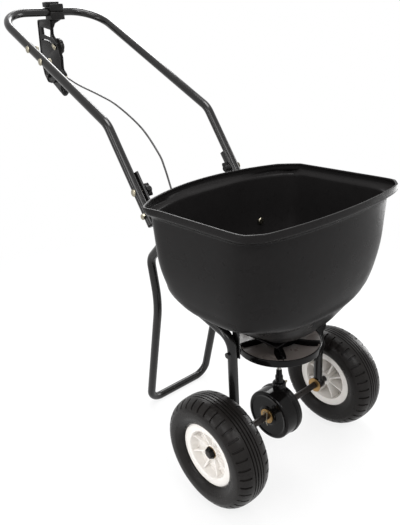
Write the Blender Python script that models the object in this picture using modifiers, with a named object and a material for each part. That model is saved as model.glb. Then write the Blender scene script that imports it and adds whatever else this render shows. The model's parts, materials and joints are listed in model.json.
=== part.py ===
"""A push broadcast spreader, modelled as the separate parts it is assembled from.

Metres, +Z up. The spreader rolls towards -Y and the operator walks at +Y, so the operator's right is
-X. Every part is placed in the axle frame: Y = 0 on the wheel axle, Z = 0 on the ground. One empty
then carries the whole so that the origin is the middle of the footprint.
"""

from math import asin, atan2, copysign, cos, hypot, pi, radians, sin, tan

import bmesh
import bpy
from mathutils import Matrix, Vector

# Fits
GAP = 0.0003
RUNNING_GAP = 0.0004
WELD = 0.000001

# Wheels
WHEEL_RADIUS = 0.133
WHEEL_X = 0.211
TYRE_WIDTH = 0.0908
TYRE_WIDEST_RADIUS = 0.104
TREAD_WIDTH = 0.044
TYRE_ROUNDNESS = 2.4
GROOVE_SPACING = 0.022
GROOVE_WIDTH = 0.003
GROOVE_DEPTH = 0.003
RIM_RADIUS = 0.0753
RIM_WIDTH = 0.0634
RIM_FLANGE = 0.0022
BEAD_DEPTH = 0.0066
BARREL_WALL = 0.0105
WEB_OFFSET = 0.006
WEB_THICKNESS = 0.004
HUB_RADIUS = 0.0165
HUB_OUTER = 0.017
RIB_COUNT = 8
RIB_THICKNESS = 0.004
RIB_DROP = 0.005
WHEEL_STEPS = 32

# Axle
AXLE_RADIUS = 0.008
AXLE_OVERHANG = 0.012
NUT_ACROSS = 0.026
NUT_THICKNESS = 0.010
HAIRPIN_X = -0.0575
HAIRPIN_WIRE = 0.0011
GEAR_PIN_RADIUS = 0.002

# Frame tubes
TUBE_RADIUS = 0.0111
TUBE_WALL = 0.0016
TUBE_SIDES = 10
POST_X = 0.152
POST_TOP_Z = 0.392
REAR_BEND_X = 0.1495
REAR_BEND_Y = 0.205
REAR_BEND_Z = 0.452
POST_BEND_RADIUS = 0.040
REAR_BEND_RADIUS = 0.060
FOLD_Y = 0.2595
FOLD_Z = 0.620
LOWER_ARM_ANGLE = radians(56.5)
FRAME_BEYOND_FOLD = 0.106
FLATTENED_SHARE = 0.45
FLATTEN_FROM_Z = 0.588
FLATTEN_TO_Z = 0.602
FRAME_BEFORE_FOLD = 0.024
SLEEVE_RADIUS = 0.0145
SLEEVE_HALF = 0.0118

# Handle
ARM_X = 0.1584
ARM_BEND_Y = 0.390
ARM_BEND_RADIUS = 0.060
CROSSBAR_Y = 0.8972
CROSSBAR_Z = 1.0788
HANDLE_CORNER_RADIUS = 0.092
ARM_TAIL = 0.024
WING_BOLT_SPACING = 0.060
ARM_BOLT_ALONG = (0.204, 0.271)

# Stand
STAND_FOOT_Y = 0.4045
STAND_HALF_WIDTH = 0.1055
STAND_KNEE_Y = 0.3115
STAND_KNEE_Z = 0.360
STAND_TOP_Y = 0.325
STAND_TOP_Z = 0.482
STAND_JOINT_Z = 0.567
STAND_TAIL = 0.014
STAND_FOOT_RADIUS = 0.040
STAND_TOP_RADIUS = 0.038

# Hopper
RIM_Z = 0.6822
FLOOR_Z = 0.3535
HOPPER_WALL = 0.003
HOPPER_HALF_WIDTH = 0.230
HOPPER_FRONT = 0.164
HOPPER_REAR = 0.209
COLLAR_OUT = 0.010
COLLAR_REACH = 0.012
MOUTH_REAR = 0.2305
MOUTH_BOW = 0.29
MOUTH_SQUARENESS = 22
COLLAR_HEIGHT = 0.013
COLLAR_FLARE = 0.014
CHAMFER_ANGLE = radians(63.6)
CHAMFER_CUT = 0.13
FRONT_SOFTNESS = 0.4
CORNER_CROWDING = 0.4
FLOOR_HALF = 0.051
FRONT_BOW = 0.15
REAR_BOW = 0.04
HOPPER_SIDES = 36
OUTLET_INNER_X = 0.011
OUTLET_WIDTH = 0.018
OUTLET_LENGTH = 0.028

# Gate
GATE_THICKNESS = 0.002
GATE_HALF_WIDTH = 0.033
GATE_TRAVEL = 0.030
GATE_MARGIN = 0.005
GATE_TAIL_Y = 0.080
GATE_TAIL_HALF_WIDTH = 0.009
RAIL_HALF_SPAN = 0.060
RAIL_LIP = 0.0035
RAIL_FRONT = -0.046
RAIL_REAR = 0.044

# Impeller and its shaft
SHAFT_RADIUS = 0.005
SHAFT_BOTTOM_Z = 0.158
SHAFT_TOP_Z = FLOOR_Z + 0.0225
IMPELLER_RADIUS = 0.100
IMPELLER_TOP_Z = 0.328
IMPELLER_BAND = 0.016
IMPELLER_WALL = 0.0026
CONE_RADIUS = 0.040
CONE_HEIGHT = 0.012
IMPELLER_HUB_RADIUS = 0.016
FIN_COUNT = 5
FIRST_FIN = 221.5
FIN_HEIGHT = 0.0095
FIN_THICKNESS = 0.0028
FIN_INNER = 0.044
FIN_OUTER = 0.096
AGITATOR_WIRE = 0.0028
AGITATOR_HEIGHT = 0.055

# Gearbox
CASING_RADIUS = 0.0622
CASING_RIGHT = 0.043
CASING_LEFT = 0.017
CASING_WALL = 0.004
SEAM_RADIUS = 0.0645
SEAM_WIDTH = 0.008
NECK_RADIUS = 0.0165
NECK_TOP_Z = 0.212
BOOT_RADIUS = 0.0095
BOOT_TOP_Z = 0.246
BUSHING_RADIUS = 0.0115
BUSHING_FLANGE_RADIUS = 0.0185
BUSHING_FLANGE = 0.003
FITTING_Z = 0.199

# Gears
GEAR_MODULE = 0.0025
CROWN_TEETH = 32
PINION_TEETH = 8
GEAR_FACE = 0.006
CROWN_THICKNESS = 0.006
TOOTH_SHARE = 0.38
ADDENDUM = 0.8
DEDENDUM = 1.1
FLANK_ANGLE = radians(20)

# Deflector and hopper brackets
PLATE_THICKNESS = 0.0025
BRACKET_THICKNESS = 0.003
POST_BOLT_Z = 0.356

# Bolts
BOLT_RADIUS = 0.004
HEAD_ACROSS = 0.013
HEAD_HEIGHT = 0.0053
HEAD_STANDOFF = 0.004
CHAMFER_STANDOFF = 0.006
SLANT_GAP = 0.0014
BOLT_NUT = 0.0065
CARRIAGE_HEAD = 0.0088
WING_SPAN = 0.033
WING_HUB_RADIUS = 0.0105
WING_HUB_LENGTH = 0.016

# Flow control on the crossbar
CONTROL_THICKNESS = 0.010
CLAMP_WIDTH = 0.045
CLAMP_INSET = 0.0005
CLAMP_HALF_HEIGHT = 0.022
CLAMP_HALF_DEPTH = 0.0185
RIDGE_WIDTH = 0.043
RIDGE_HEIGHT = 0.0055
PIVOT_Y = 0.950
PIVOT_Z = 0.897
SLOT_RADIUS = 0.107
SLOT_WIDTH = 0.006
SLOT_START = radians(86)
STOP_ANGLE = radians(126.7)
LEVER_THICKNESS = 0.004
LEVER_HUB_RADIUS = 0.016
LEVER_END_RADIUS = 0.0215
LEVER_END_Y = 0.882
LEVER_END_Z = 0.860
LEVER_ARM_LENGTH = 0.043
LEVER_ARM_ANGLE = radians(80)
STOP_KNOB_RADIUS = 0.0235
STOP_KNOB_LENGTH = 0.017
STOP_WASHER = 0.002
STUD_RADIUS = 0.0024

# Cable
CABLE_RADIUS = 0.0025
FERRULE_RADIUS = 0.0042
FERRULE_LENGTH = 0.014
CABLE_STEP = 0.015

# Derived places
AXLE_Z = WHEEL_RADIUS
JOINT_X = ARM_X - 2 * TUBE_RADIUS - GAP
LOWER_ARM = Vector((0, cos(LOWER_ARM_ANGLE), sin(LOWER_ARM_ANGLE)))
FOLD = Vector((0, FOLD_Y, FOLD_Z))
WING_BOLT = FOLD + LOWER_ARM * WING_BOLT_SPACING
ARM_BEND = FOLD + LOWER_ARM * ((ARM_BEND_Y - FOLD_Y) / LOWER_ARM.y)
CROSSBAR = Vector((0, CROSSBAR_Y, CROSSBAR_Z))
PIVOT = Vector((0, PIVOT_Y, PIVOT_Z))
POST_INSIDE = POST_X - TUBE_RADIUS - GAP
FLOOR_UNDER = FLOOR_Z - HOPPER_WALL
GATE_TOP = FLOOR_UNDER - GAP
GATE_BOTTOM = GATE_TOP - GATE_THICKNESS
CROWN_RADIUS = GEAR_MODULE * CROWN_TEETH / 2
PINION_RADIUS = GEAR_MODULE * PINION_TEETH / 2
PINION_Z = AXLE_Z + CROWN_RADIUS
CONTROL_REAR_Y = 0.981
FRONT_Y = -(HOPPER_FRONT + COLLAR_REACH + HOPPER_WALL)
CENTRE_SHIFT = -(FRONT_Y + CONTROL_REAR_Y) / 2


# Scene, materials and the bodies that move

def clear_scene():
    for old in list(bpy.data.objects):
        bpy.data.objects.remove(old)


def linear(value):
    value /= 255
    return value / 12.92 if value <= 0.04045 else ((value + 0.055) / 1.055) ** 2.4


def material(name, colour, roughness, metallic=0.0):
    made = bpy.data.materials.new(name)
    made.use_nodes = True
    shader = made.node_tree.nodes["Principled BSDF"]
    shader.inputs["Base Color"].default_value = (*map(linear, colour), 1)
    shader.inputs["Roughness"].default_value = roughness
    shader.inputs["Metallic"].default_value = metallic
    return made


def empty(name, place, parent=None):
    made = bpy.data.objects.new(name, None)
    made.location = place
    made.parent = parent
    made.empty_display_size = 0.03
    PARTS.objects.link(made)
    return made


def part(name, obj, look, body):
    """Name a finished shape, give it its material and hang it on the empty of its body."""
    obj.name = name
    obj.data.name = name
    obj.data.materials.clear()
    obj.data.materials.append(look)
    obj.parent = body
    if body is not SPREADER:
        obj.matrix_parent_inverse = Matrix.Translation(-body.location)
    return obj


# Shapes

def add(name, data):
    obj = bpy.data.objects.new(name, data)
    PARTS.objects.link(obj)
    return obj


def settle(obj, outward=False):
    """Replace the object by one plain welded mesh, smooth up to its sharp edges."""
    graph = bpy.context.evaluated_depsgraph_get()
    mesh = bpy.data.meshes.new_from_object(obj.evaluated_get(graph))
    work = bmesh.new()
    work.from_mesh(mesh)
    bmesh.ops.remove_doubles(work, verts=work.verts, dist=WELD)
    bmesh.ops.dissolve_degenerate(work, edges=work.edges, dist=WELD)
    if outward:
        bmesh.ops.recalc_face_normals(work, faces=work.faces)
    work.to_mesh(mesh)
    work.free()
    mesh.shade_smooth()
    mesh.set_sharp_from_angle(angle=radians(38))
    made = add(obj.name, mesh)
    made.matrix_world = obj.matrix_world
    bpy.data.objects.remove(obj)
    return made


def boolean(base, operation, others):
    for other in others:
        change = base.modifiers.new(operation.lower(), "BOOLEAN")
        change.operation = operation
        change.solver = "EXACT"
        change.object = other
    made = settle(base)
    for other in others:
        bpy.data.objects.remove(other)
    return made


def cut(base, *cutters):
    return boolean(base, "DIFFERENCE", cutters)


def join(base, *others):
    return boolean(base, "UNION", others)


def keep_inside(base, limit):
    return boolean(base, "INTERSECT", [limit])


def block(low, high):
    low, high = Vector(low), Vector(high)
    work = bmesh.new()
    bmesh.ops.create_cube(work, size=1)
    size = Matrix.Diagonal((*(high - low), 1))
    bmesh.ops.transform(work, matrix=Matrix.Translation((low + high) / 2) @ size, verts=work.verts)
    mesh = bpy.data.meshes.new("block")
    work.to_mesh(mesh)
    work.free()
    return add("block", mesh)


def rod(start, end, radius, sides=16, end_radius=None, turn=0.0):
    """A cylinder, or a cone or prism, between two points."""
    start, end = Vector(start), Vector(end)
    along = end - start
    aim = along.to_track_quat("Z", "Y").to_matrix().to_4x4()
    work = bmesh.new()
    bmesh.ops.create_cone(
        work, cap_ends=True, segments=sides, depth=along.length,
        radius1=radius, radius2=radius if end_radius is None else end_radius,
    )
    place = Matrix.Translation((start + end) / 2) @ aim @ Matrix.Rotation(turn, 4, "Z")
    bmesh.ops.transform(work, matrix=place, verts=work.verts)
    mesh = bpy.data.meshes.new("rod")
    work.to_mesh(mesh)
    work.free()
    mesh.shade_smooth()
    mesh.set_sharp_from_angle(angle=radians(38))
    return add("rod", mesh)


AIM = {
    "X": Matrix(((0, 0, 1), (0, 1, 0), (-1, 0, 0))).to_4x4(),
    "-X": Matrix(((0, 0, -1), (0, 1, 0), (1, 0, 0))).to_4x4(),
    "Y": Matrix(((1, 0, 0), (0, 0, 1), (0, -1, 0))).to_4x4(),
    "Z": Matrix.Identity(4),
}


def turned(profile, centre, axis, steps, ring=False):
    """Turn (radius, height) points, listed from the top down the outer side, about an axis."""
    mesh = bpy.data.meshes.new("turned")
    edges = [(i, i + 1) for i in range(len(profile) - 1)]
    if ring:
        edges.append((len(profile) - 1, 0))
    mesh.from_pydata([(radius, 0, height) for radius, height in profile], edges, [])
    obj = add("turned", mesh)
    obj.matrix_world = Matrix.Translation(centre) @ AIM[axis]
    screw = obj.modifiers.new("turn", "SCREW")
    screw.steps = screw.render_steps = steps
    screw.use_merge_vertices = True
    screw.merge_threshold = 0.00001
    return settle(obj, outward=True)


PLANES = {
    "YZ": Matrix(((0, 0, 1), (1, 0, 0), (0, 1, 0))).to_4x4(),
    "XZ": Matrix(((1, 0, 0), (0, 0, -1), (0, 1, 0))).to_4x4(),
    "XY": Matrix.Identity(4),
}


def plate(plane, outline, low, high, holes=()):
    """A flat outline in the named plane, made solid between two heights on the third axis."""
    curve = bpy.data.curves.new("plate", "CURVE")
    curve.dimensions = "2D"
    curve.fill_mode = "BOTH"
    curve.extrude = (high - low) / 2
    for loop in (outline, *holes):
        spline = curve.splines.new("POLY")
        spline.points.add(len(loop) - 1)
        for point, place in zip(spline.points, loop):
            point.co = (place[0], place[1], 0, 1)
        spline.use_cyclic_u = True
    obj = add("plate", curve)
    middle = (low + high) / 2
    lift = -middle if plane == "XZ" else middle
    obj.matrix_world = PLANES[plane] @ Matrix.Translation((0, 0, lift))
    return settle(obj, outward=True)


def pipe(points, radius, sides=TUBE_SIDES, wall=None):
    """A round bar along the points, or a tube where it has a wall."""
    curve = bpy.data.curves.new("pipe", "CURVE")
    curve.dimensions = "3D"
    curve.bevel_depth = radius
    curve.bevel_resolution = (sides - 4) // 2
    curve.use_fill_caps = wall is None
    spline = curve.splines.new("POLY")
    spline.points.add(len(points) - 1)
    for point, place in zip(spline.points, points):
        point.co = (*place, 1)
    obj = add("pipe", curve)
    if wall:
        shell = obj.modifiers.new("wall", "SOLIDIFY")
        shell.thickness = wall
        shell.offset = -1
    return settle(obj, outward=True)


def rounded(points, radii, step=radians(17)):
    """A line through the points with its inner corners rounded to the given radii."""
    points = [Vector(point) for point in points]
    path = [points[0]]
    for before, corner, after, radius in zip(points, points[1:], points[2:], radii):
        if not radius:
            path.append(corner)
            continue
        back = (before - corner).normalized()
        ahead = (after - corner).normalized()
        half = back.angle(ahead) / 2
        middle = corner + (back + ahead).normalized() * (radius / sin(half))
        turn = pi - 2 * half
        count = max(2, round(turn / step))
        first = corner + back * (radius / tan(half)) - middle
        side = -back * radius
        for i in range(count + 1):
            angle = turn * i / count
            path.append(middle + first * cos(angle) + side * sin(angle))
    path.append(points[-1])
    return path


def arc(centre, radius, start, end, count):
    return [
        (centre[0] + radius * cos(start + (end - start) * i / count),
         centre[1] + radius * sin(start + (end - start) * i / count))
        for i in range(count + 1)
    ]


def circle(centre, radius, count=16):
    return arc(centre, radius, 0, 2 * pi, count)[:-1]


def band(centre, radius, width, start, end, count):
    """An arc-shaped slot with round ends, as one closed outline."""
    half = width / 2
    outer = arc(centre, radius + half, start, end, count)
    inner = arc(centre, radius - half, end, start, count)
    tip = (centre[0] + radius * cos(end), centre[1] + radius * sin(end))
    tail = (centre[0] + radius * cos(start), centre[1] + radius * sin(start))
    head_cap = arc(tip, half, end, end + pi, 4)[1:-1]
    tail_cap = arc(tail, half, start + pi, start + 2 * pi, 4)[1:-1]
    return outer + head_cap + inner + tail_cap


def smooth_corners(outline, radius, count=3):
    """A closed outline with each corner rounded."""
    made = []
    for i, corner in enumerate(outline):
        corner = Vector(corner)
        back = (Vector(outline[i - 1]) - corner).normalized()
        ahead = (Vector(outline[(i + 1) % len(outline)]) - corner).normalized()
        half = back.angle(ahead) / 2
        reach = min(radius / tan(half), 0.45 * min(
            (Vector(outline[i - 1]) - corner).length,
            (Vector(outline[(i + 1) % len(outline)]) - corner).length,
        ))
        start, end = corner + back * reach, corner + ahead * reach
        for k in range(count + 1):
            share = k / count
            made.append(tuple(
                start * (1 - share) ** 2 + corner * (2 * share * (1 - share)) + end * share ** 2
            ))
    return made


def hull_of_two(first, first_radius, second, second_radius, count=8):
    """The outline of a strap that runs from one round end to another."""
    dx, dy = second[0] - first[0], second[1] - first[1]
    heading = atan2(dy, dx)
    lean = asin((first_radius - second_radius) / hypot(dx, dy))
    near = arc(first, first_radius, heading + pi / 2 - lean, heading + 3 * pi / 2 + lean, count)
    far = arc(second, second_radius, heading - pi / 2 + lean, heading + pi / 2 - lean, count)
    return near + far


def hex_radius(across):
    return across / 2 / cos(pi / 6)


def through_bolt(head_face, nut_face, radius=BOLT_RADIUS, round_head=None):
    """A bolt from the face under its head to the face under its nut, along X."""
    head_face, nut_face = Vector(head_face), Vector(nut_face)
    along = (nut_face - head_face).normalized()
    shank = rod(head_face - along * 0.001, nut_face + along * (BOLT_NUT + 0.002), radius, 10)
    if round_head:
        head = rod(head_face, head_face - along * 0.004, round_head, 14, round_head * 0.55)
    else:
        head = rod(head_face, head_face - along * HEAD_HEIGHT, hex_radius(HEAD_ACROSS), 6)
    nut = rod(nut_face, nut_face + along * BOLT_NUT, hex_radius(HEAD_ACROSS), 6)
    return join(shank, head, nut)


def drill(place, axis, radius, half_length, sides=16):
    reach = {"X": Vector((half_length, 0, 0)), "Y": Vector((0, half_length, 0)),
             "Z": Vector((0, 0, half_length))}[axis]
    return rod(Vector(place) - reach, Vector(place) + reach, radius, sides)


# Wheels and axle

def tyre_profile():
    half_tread = TREAD_WIDTH / 2
    half = TYRE_WIDTH / 2

    def crown(offset):
        left = 1 - (offset / half) ** TYRE_ROUNDNESS
        return TYRE_WIDEST_RADIUS + (WHEEL_RADIUS - TYRE_WIDEST_RADIUS) * left ** (1 / TYRE_ROUNDNESS)

    side = []
    groove = GROOVE_SPACING / 2
    side.append((crown(groove), groove - GROOVE_WIDTH / 2))
    side.append((crown(groove) - GROOVE_DEPTH, groove))
    side.append((crown(groove), groove + GROOVE_WIDTH / 2))
    side.append((crown(half_tread), half_tread))
    side.extend((crown(half * share), half * share) for share in (0.71, 0.88, 0.975))
    side.append((TYRE_WIDEST_RADIUS, half))
    side.append(((RIM_RADIUS + TYRE_WIDEST_RADIUS) / 2, half - 0.0015))
    side.append((RIM_RADIUS + GAP, RIM_WIDTH / 2 + 0.002))
    seat = RIM_WIDTH / 2 - RIM_FLANGE - GAP
    side.append((RIM_RADIUS + GAP, seat))
    side.append((RIM_RADIUS - BEAD_DEPTH + GAP, seat))
    return [(r, t) for r, t in reversed(side)] + [(r, -t) for r, t in side]


def rim_profile():
    half = RIM_WIDTH / 2
    channel = RIM_RADIUS - BEAD_DEPTH
    barrel = channel - BARREL_WALL
    bore = AXLE_RADIUS + RUNNING_GAP
    return [
        (bore, HUB_OUTER), (HUB_RADIUS, HUB_OUTER), (HUB_RADIUS, WEB_OFFSET + WEB_THICKNESS),
        (barrel - 0.002, WEB_OFFSET + WEB_THICKNESS), (barrel, half), (RIM_RADIUS, half),
        (RIM_RADIUS, half - RIM_FLANGE), (channel, half - RIM_FLANGE),
        (channel, RIM_FLANGE - half), (RIM_RADIUS, RIM_FLANGE - half), (RIM_RADIUS, -half),
        (barrel, -half), (barrel - 0.002, WEB_OFFSET), (HUB_RADIUS, WEB_OFFSET),
        (HUB_RADIUS, -half), (bore, -half),
    ]


def wheel(side, prefix, body):
    axis = "X" if side > 0 else "-X"
    centre = Vector((side * WHEEL_X, 0, AXLE_Z))
    tyre = turned(tyre_profile(), centre, axis, WHEEL_STEPS, ring=True)
    part(prefix + "_tyre", tyre, RUBBER, body)
    rim = turned(rim_profile(), centre, axis, WHEEL_STEPS, ring=True)
    barrel = RIM_RADIUS - BEAD_DEPTH - BARREL_WALL
    base = WEB_OFFSET + WEB_THICKNESS / 2
    outline = [
        (HUB_RADIUS - 0.002, base), (barrel + 0.001, base),
        (barrel + 0.001, RIM_WIDTH / 2 - RIB_DROP), (HUB_RADIUS - 0.002, HUB_OUTER - 0.001),
    ]
    ribs = []
    for i in range(RIB_COUNT):
        rib = plate("XZ", outline, -RIB_THICKNESS / 2, RIB_THICKNESS / 2)
        turn = Matrix.Rotation(2 * pi * (i + 0.5) / RIB_COUNT, 4, "Z")
        rib.matrix_world = Matrix.Translation(centre) @ AIM[axis] @ turn @ rib.matrix_world
        ribs.append(rib)
    part(prefix + "_rim", join(rim, *ribs), WHITE_PLASTIC, body)


def axle_parts():
    outer = WHEEL_X + HUB_OUTER
    end = outer + AXLE_OVERHANG
    axle = rod((-end, 0, AXLE_Z), (end, 0, AXLE_Z), AXLE_RADIUS, 20)
    axle = cut(
        axle,
        drill((HAIRPIN_X, 0, AXLE_Z), "Z", HAIRPIN_WIRE + GAP, 2 * AXLE_RADIUS, 8),
        drill((gear_pin_x(), 0, AXLE_Z), "Z", GEAR_PIN_RADIUS + GAP, 2 * AXLE_RADIUS, 10),
    )
    part("axle", axle, AXLE_STEEL, AXLE_BODY)
    bore = AXLE_RADIUS + GAP
    for side, name in ((-1, "right"), (1, "left")):
        start = side * (outer + GAP)
        nut = rod((start, 0, AXLE_Z), (start + side * NUT_THICKNESS, 0, AXLE_Z),
                  hex_radius(NUT_ACROSS), 6)
        nut = cut(nut, drill((start, 0, AXLE_Z), "X", bore, 0.03, 20))
        part("axle_nut_" + name, nut, BLACK_PLASTIC, AXLE_BODY)
    part("hairpin_cotter", hairpin(), ZINC, AXLE_BODY)


def hairpin():
    """A straight leg through the axle and a sprung leg round its outside, bent from one wire."""
    x, reach = HAIRPIN_X, AXLE_RADIUS
    outside = -(AXLE_RADIUS + HAIRPIN_WIRE + GAP)
    route = [
        (x, 0, AXLE_Z - 1.5 * reach), (x, 0, AXLE_Z + 2.1 * reach),
        (x, -0.4 * reach, AXLE_Z + 2.7 * reach), (x, -1.5 * reach, AXLE_Z + 2.4 * reach),
        (x, outside - 0.0012, AXLE_Z + 1.1 * reach), (x, outside, AXLE_Z),
        (x, outside - 0.0012, AXLE_Z - 1.1 * reach), (x, outside - 0.004, AXLE_Z - 1.7 * reach),
    ]
    radii = [0.35 * reach, 0.4 * reach, 0.35 * reach, 0.5 * reach, 0.6 * reach, 0.4 * reach]
    return pipe(rounded(route, radii, radians(25)), HAIRPIN_WIRE, 8)


# Frame, stand and handle

def tube_path(side):
    top = FOLD + LOWER_ARM * FRAME_BEYOND_FOLD
    low = FOLD - LOWER_ARM * FRAME_BEFORE_FOLD
    points = [
        (side * POST_X, 0, AXLE_Z + 0.5 * SLEEVE_RADIUS),
        (side * POST_X, 0, POST_TOP_Z),
        (side * REAR_BEND_X, REAR_BEND_Y, REAR_BEND_Z),
        (side * JOINT_X, low.y, low.z),
        (side * JOINT_X, FOLD.y, FOLD.z),
        (side * JOINT_X, top.y, top.z),
    ]
    return rounded(points, [POST_BEND_RADIUS, REAR_BEND_RADIUS, 0.05, 0])


def rear_run(height):
    """The frame tube's centre at a height between its rear bend and its joint."""
    low = FOLD - LOWER_ARM * FRAME_BEFORE_FOLD
    share = (height - REAR_BEND_Z) / (low.z - REAR_BEND_Z)
    return Vector((REAR_BEND_X + (JOINT_X - REAR_BEND_X) * share,
                   REAR_BEND_Y + (low.y - REAR_BEND_Y) * share, height))


def flatten_joint_end(tube, side):
    """Press the tube's upper end against the plane of the arm, so that it is narrow from the front."""
    outer = side * (JOINT_X + TUBE_RADIUS)
    for vertex in tube.data.vertices:
        place = vertex.co
        share = min(1, max(0, (place.z - FLATTEN_FROM_Z) / (FLATTEN_TO_Z - FLATTEN_FROM_Z)))
        place.x = outer + (place.x - outer) * (1 - share * (1 - FLATTENED_SHARE))


def wing_notch(side):
    """The open curved notch by which the frame tube lets the wing bolt swing out."""
    turn = LOWER_ARM_ANGLE
    outline = band((FOLD.y, FOLD.z), WING_BOLT_SPACING, 2 * (BOLT_RADIUS + RUNNING_GAP),
                   turn - radians(24), turn, 6)
    return plate("YZ", outline, side * JOINT_X - 0.02, side * JOINT_X + 0.02)


def frame_tubes():
    for side, name in ((-1, "right"), (1, "left")):
        tube = pipe(tube_path(side), TUBE_RADIUS, wall=TUBE_WALL)
        flatten_joint_end(tube, side)
        centre = Vector((side * POST_X, 0, AXLE_Z))
        half = Vector((SLEEVE_HALF, 0, 0))
        sleeve = rod(centre - half, centre + half, SLEEVE_RADIUS, 20)
        tube = join(tube, sleeve)
        hopper_hole = hopper_bolt_line(side)
        stand_hole = rear_run(STAND_JOINT_Z)
        tube = cut(
            tube,
            drill(centre, "X", BUSHING_RADIUS + GAP, 0.03, 20),
            drill((side * POST_X, 0, POST_BOLT_Z), "X", BOLT_RADIUS + GAP, 0.03, 12),
            drill((side * JOINT_X, FOLD.y, FOLD.z), "X", BOLT_RADIUS + GAP, 0.03, 12),
            drill((side * JOINT_X, stand_hole.y, stand_hole.z), "X", BOLT_RADIUS + GAP, 0.04, 12),
            rod(hopper_hole[0], hopper_hole[1], BOLT_RADIUS + GAP, 12),
            wing_notch(side),
        )
        part("frame_tube_" + name, tube, BLACK_PAINT, SPREADER)
        bushing(centre, -side, SLEEVE_HALF, "axle_bushing_" + name)


def bushing(centre, outward, half_length, name):
    """A flanged bearing bush for the axle. Its flange faces the way that outward points on X."""
    axis = "X" if outward > 0 else "-X"
    bore = AXLE_RADIUS + RUNNING_GAP
    flange = half_length + GAP
    profile = [
        (bore, flange + BUSHING_FLANGE), (BUSHING_FLANGE_RADIUS, flange + BUSHING_FLANGE),
        (BUSHING_FLANGE_RADIUS, flange), (BUSHING_RADIUS, flange),
        (BUSHING_RADIUS, -half_length), (bore, -half_length),
    ]
    part(name, turned(profile, centre, axis, 20, ring=True), BRASS, SPREADER)


def stand():
    joint = rear_run(STAND_JOINT_Z)
    top_x = joint.x - 2 * TUBE_RADIUS - 2 * GAP
    knee = Vector((0.114, STAND_KNEE_Y, STAND_KNEE_Z))
    top = Vector((top_x, STAND_TOP_Y, STAND_TOP_Z))
    reach = Vector((top_x, joint.y, joint.z))
    tail = reach + (reach - top).normalized() * STAND_TAIL
    half = [tail, top, knee, Vector((STAND_HALF_WIDTH, STAND_FOOT_Y, TUBE_RADIUS))]
    mirrored = [Vector((-p.x, p.y, p.z)) for p in reversed(half)]
    radii = [STAND_TOP_RADIUS, 0.25, STAND_FOOT_RADIUS]
    tube = pipe(rounded(half + mirrored, radii + radii[::-1]), TUBE_RADIUS, wall=TUBE_WALL)
    holes = [drill((side * top_x, joint.y, joint.z), "X", BOLT_RADIUS + GAP, 0.03, 12)
             for side in (-1, 1)]
    part("stand", cut(tube, *holes), BLACK_PAINT, SPREADER)
    for side, name in ((-1, "right"), (1, "left")):
        outside = side * (joint.x + TUBE_RADIUS + SLANT_GAP)
        inside = side * (top_x - TUBE_RADIUS - GAP)
        bolt = through_bolt((outside, joint.y, joint.z), (inside, joint.y, joint.z))
        part("stand_bolt_" + name, bolt, ZINC, SPREADER)


def upper_arm(along):
    """A point on the arm, measured from the crossbar's height back down towards the bend."""
    heading = (ARM_BEND - CROSSBAR).normalized()
    return CROSSBAR + heading * along


def handle_parts():
    tail = FOLD - LOWER_ARM * ARM_TAIL
    half = [tail, ARM_BEND, CROSSBAR]
    right = [Vector((-ARM_X, p.y, p.z)) for p in half]
    left = [Vector((ARM_X, p.y, p.z)) for p in reversed(half)]
    radii = [ARM_BEND_RADIUS, HANDLE_CORNER_RADIUS, HANDLE_CORNER_RADIUS, ARM_BEND_RADIUS]
    tube = pipe(rounded(right + left, radii), TUBE_RADIUS, wall=TUBE_WALL)
    cutters = []
    for side in (-1, 1):
        for place in (FOLD, WING_BOLT):
            cutters.append(drill((side * ARM_X, place.y, place.z), "X", BOLT_RADIUS + GAP, 0.03, 12))
    for along in ARM_BOLT_ALONG:
        place = upper_arm(along)
        cutters.append(drill((-ARM_X, place.y, place.z), "X", BOLT_RADIUS + GAP, 0.03, 12))
    part("handle", cut(tube, *cutters), BLACK_PAINT, HANDLE_BODY)
    for along, name in zip(ARM_BOLT_ALONG, ("upper", "lower")):
        place = upper_arm(along)
        face = TUBE_RADIUS + GAP
        bolt = through_bolt((-ARM_X - face, place.y, place.z), (-ARM_X + face, place.y, place.z),
                            round_head=CARRIAGE_HEAD)
        part("arm_bolt_" + name, bolt, ZINC, HANDLE_BODY)
    inner = TUBE_RADIUS - TUBE_WALL - GAP
    for side, name in ((-1, "right"), (1, "left")):
        start = Vector((side * ARM_X, tail.y, tail.z))
        cap = rod(start - LOWER_ARM * GAP, start - LOWER_ARM * (GAP + 0.003), TUBE_RADIUS)
        plug = rod(start + LOWER_ARM * 0.014, start - LOWER_ARM * (GAP + 0.001), inner * 0.98)
        part("arm_plug_" + name, join(cap, plug), BLACK_PLASTIC, HANDLE_BODY)


def fold_joint_parts():
    outside = ARM_X + TUBE_RADIUS + GAP
    inside = JOINT_X + TUBE_RADIUS - 2 * TUBE_RADIUS * FLATTENED_SHARE - GAP
    for side, name in ((-1, "right"), (1, "left")):
        bolt = through_bolt((side * outside, FOLD.y, FOLD.z), (side * inside, FOLD.y, FOLD.z))
        part("fold_bolt_" + name, bolt, ZINC, SPREADER)
        head = Vector((side * outside, WING_BOLT.y, WING_BOLT.z))
        end = Vector((side * (inside - 0.008), WING_BOLT.y, WING_BOLT.z))
        shank = rod(head, end, BOLT_RADIUS, 10)
        dome = rod(head, head + Vector((side * 0.004, 0, 0)), CARRIAGE_HEAD, 14, 0.5 * CARRIAGE_HEAD)
        part("wing_bolt_" + name, join(shank, dome), ZINC, HANDLE_BODY)
        part("wing_knob_" + name, wing_knob(side, inside), BLACK_PLASTIC, KNOB_BODIES[name])


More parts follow.
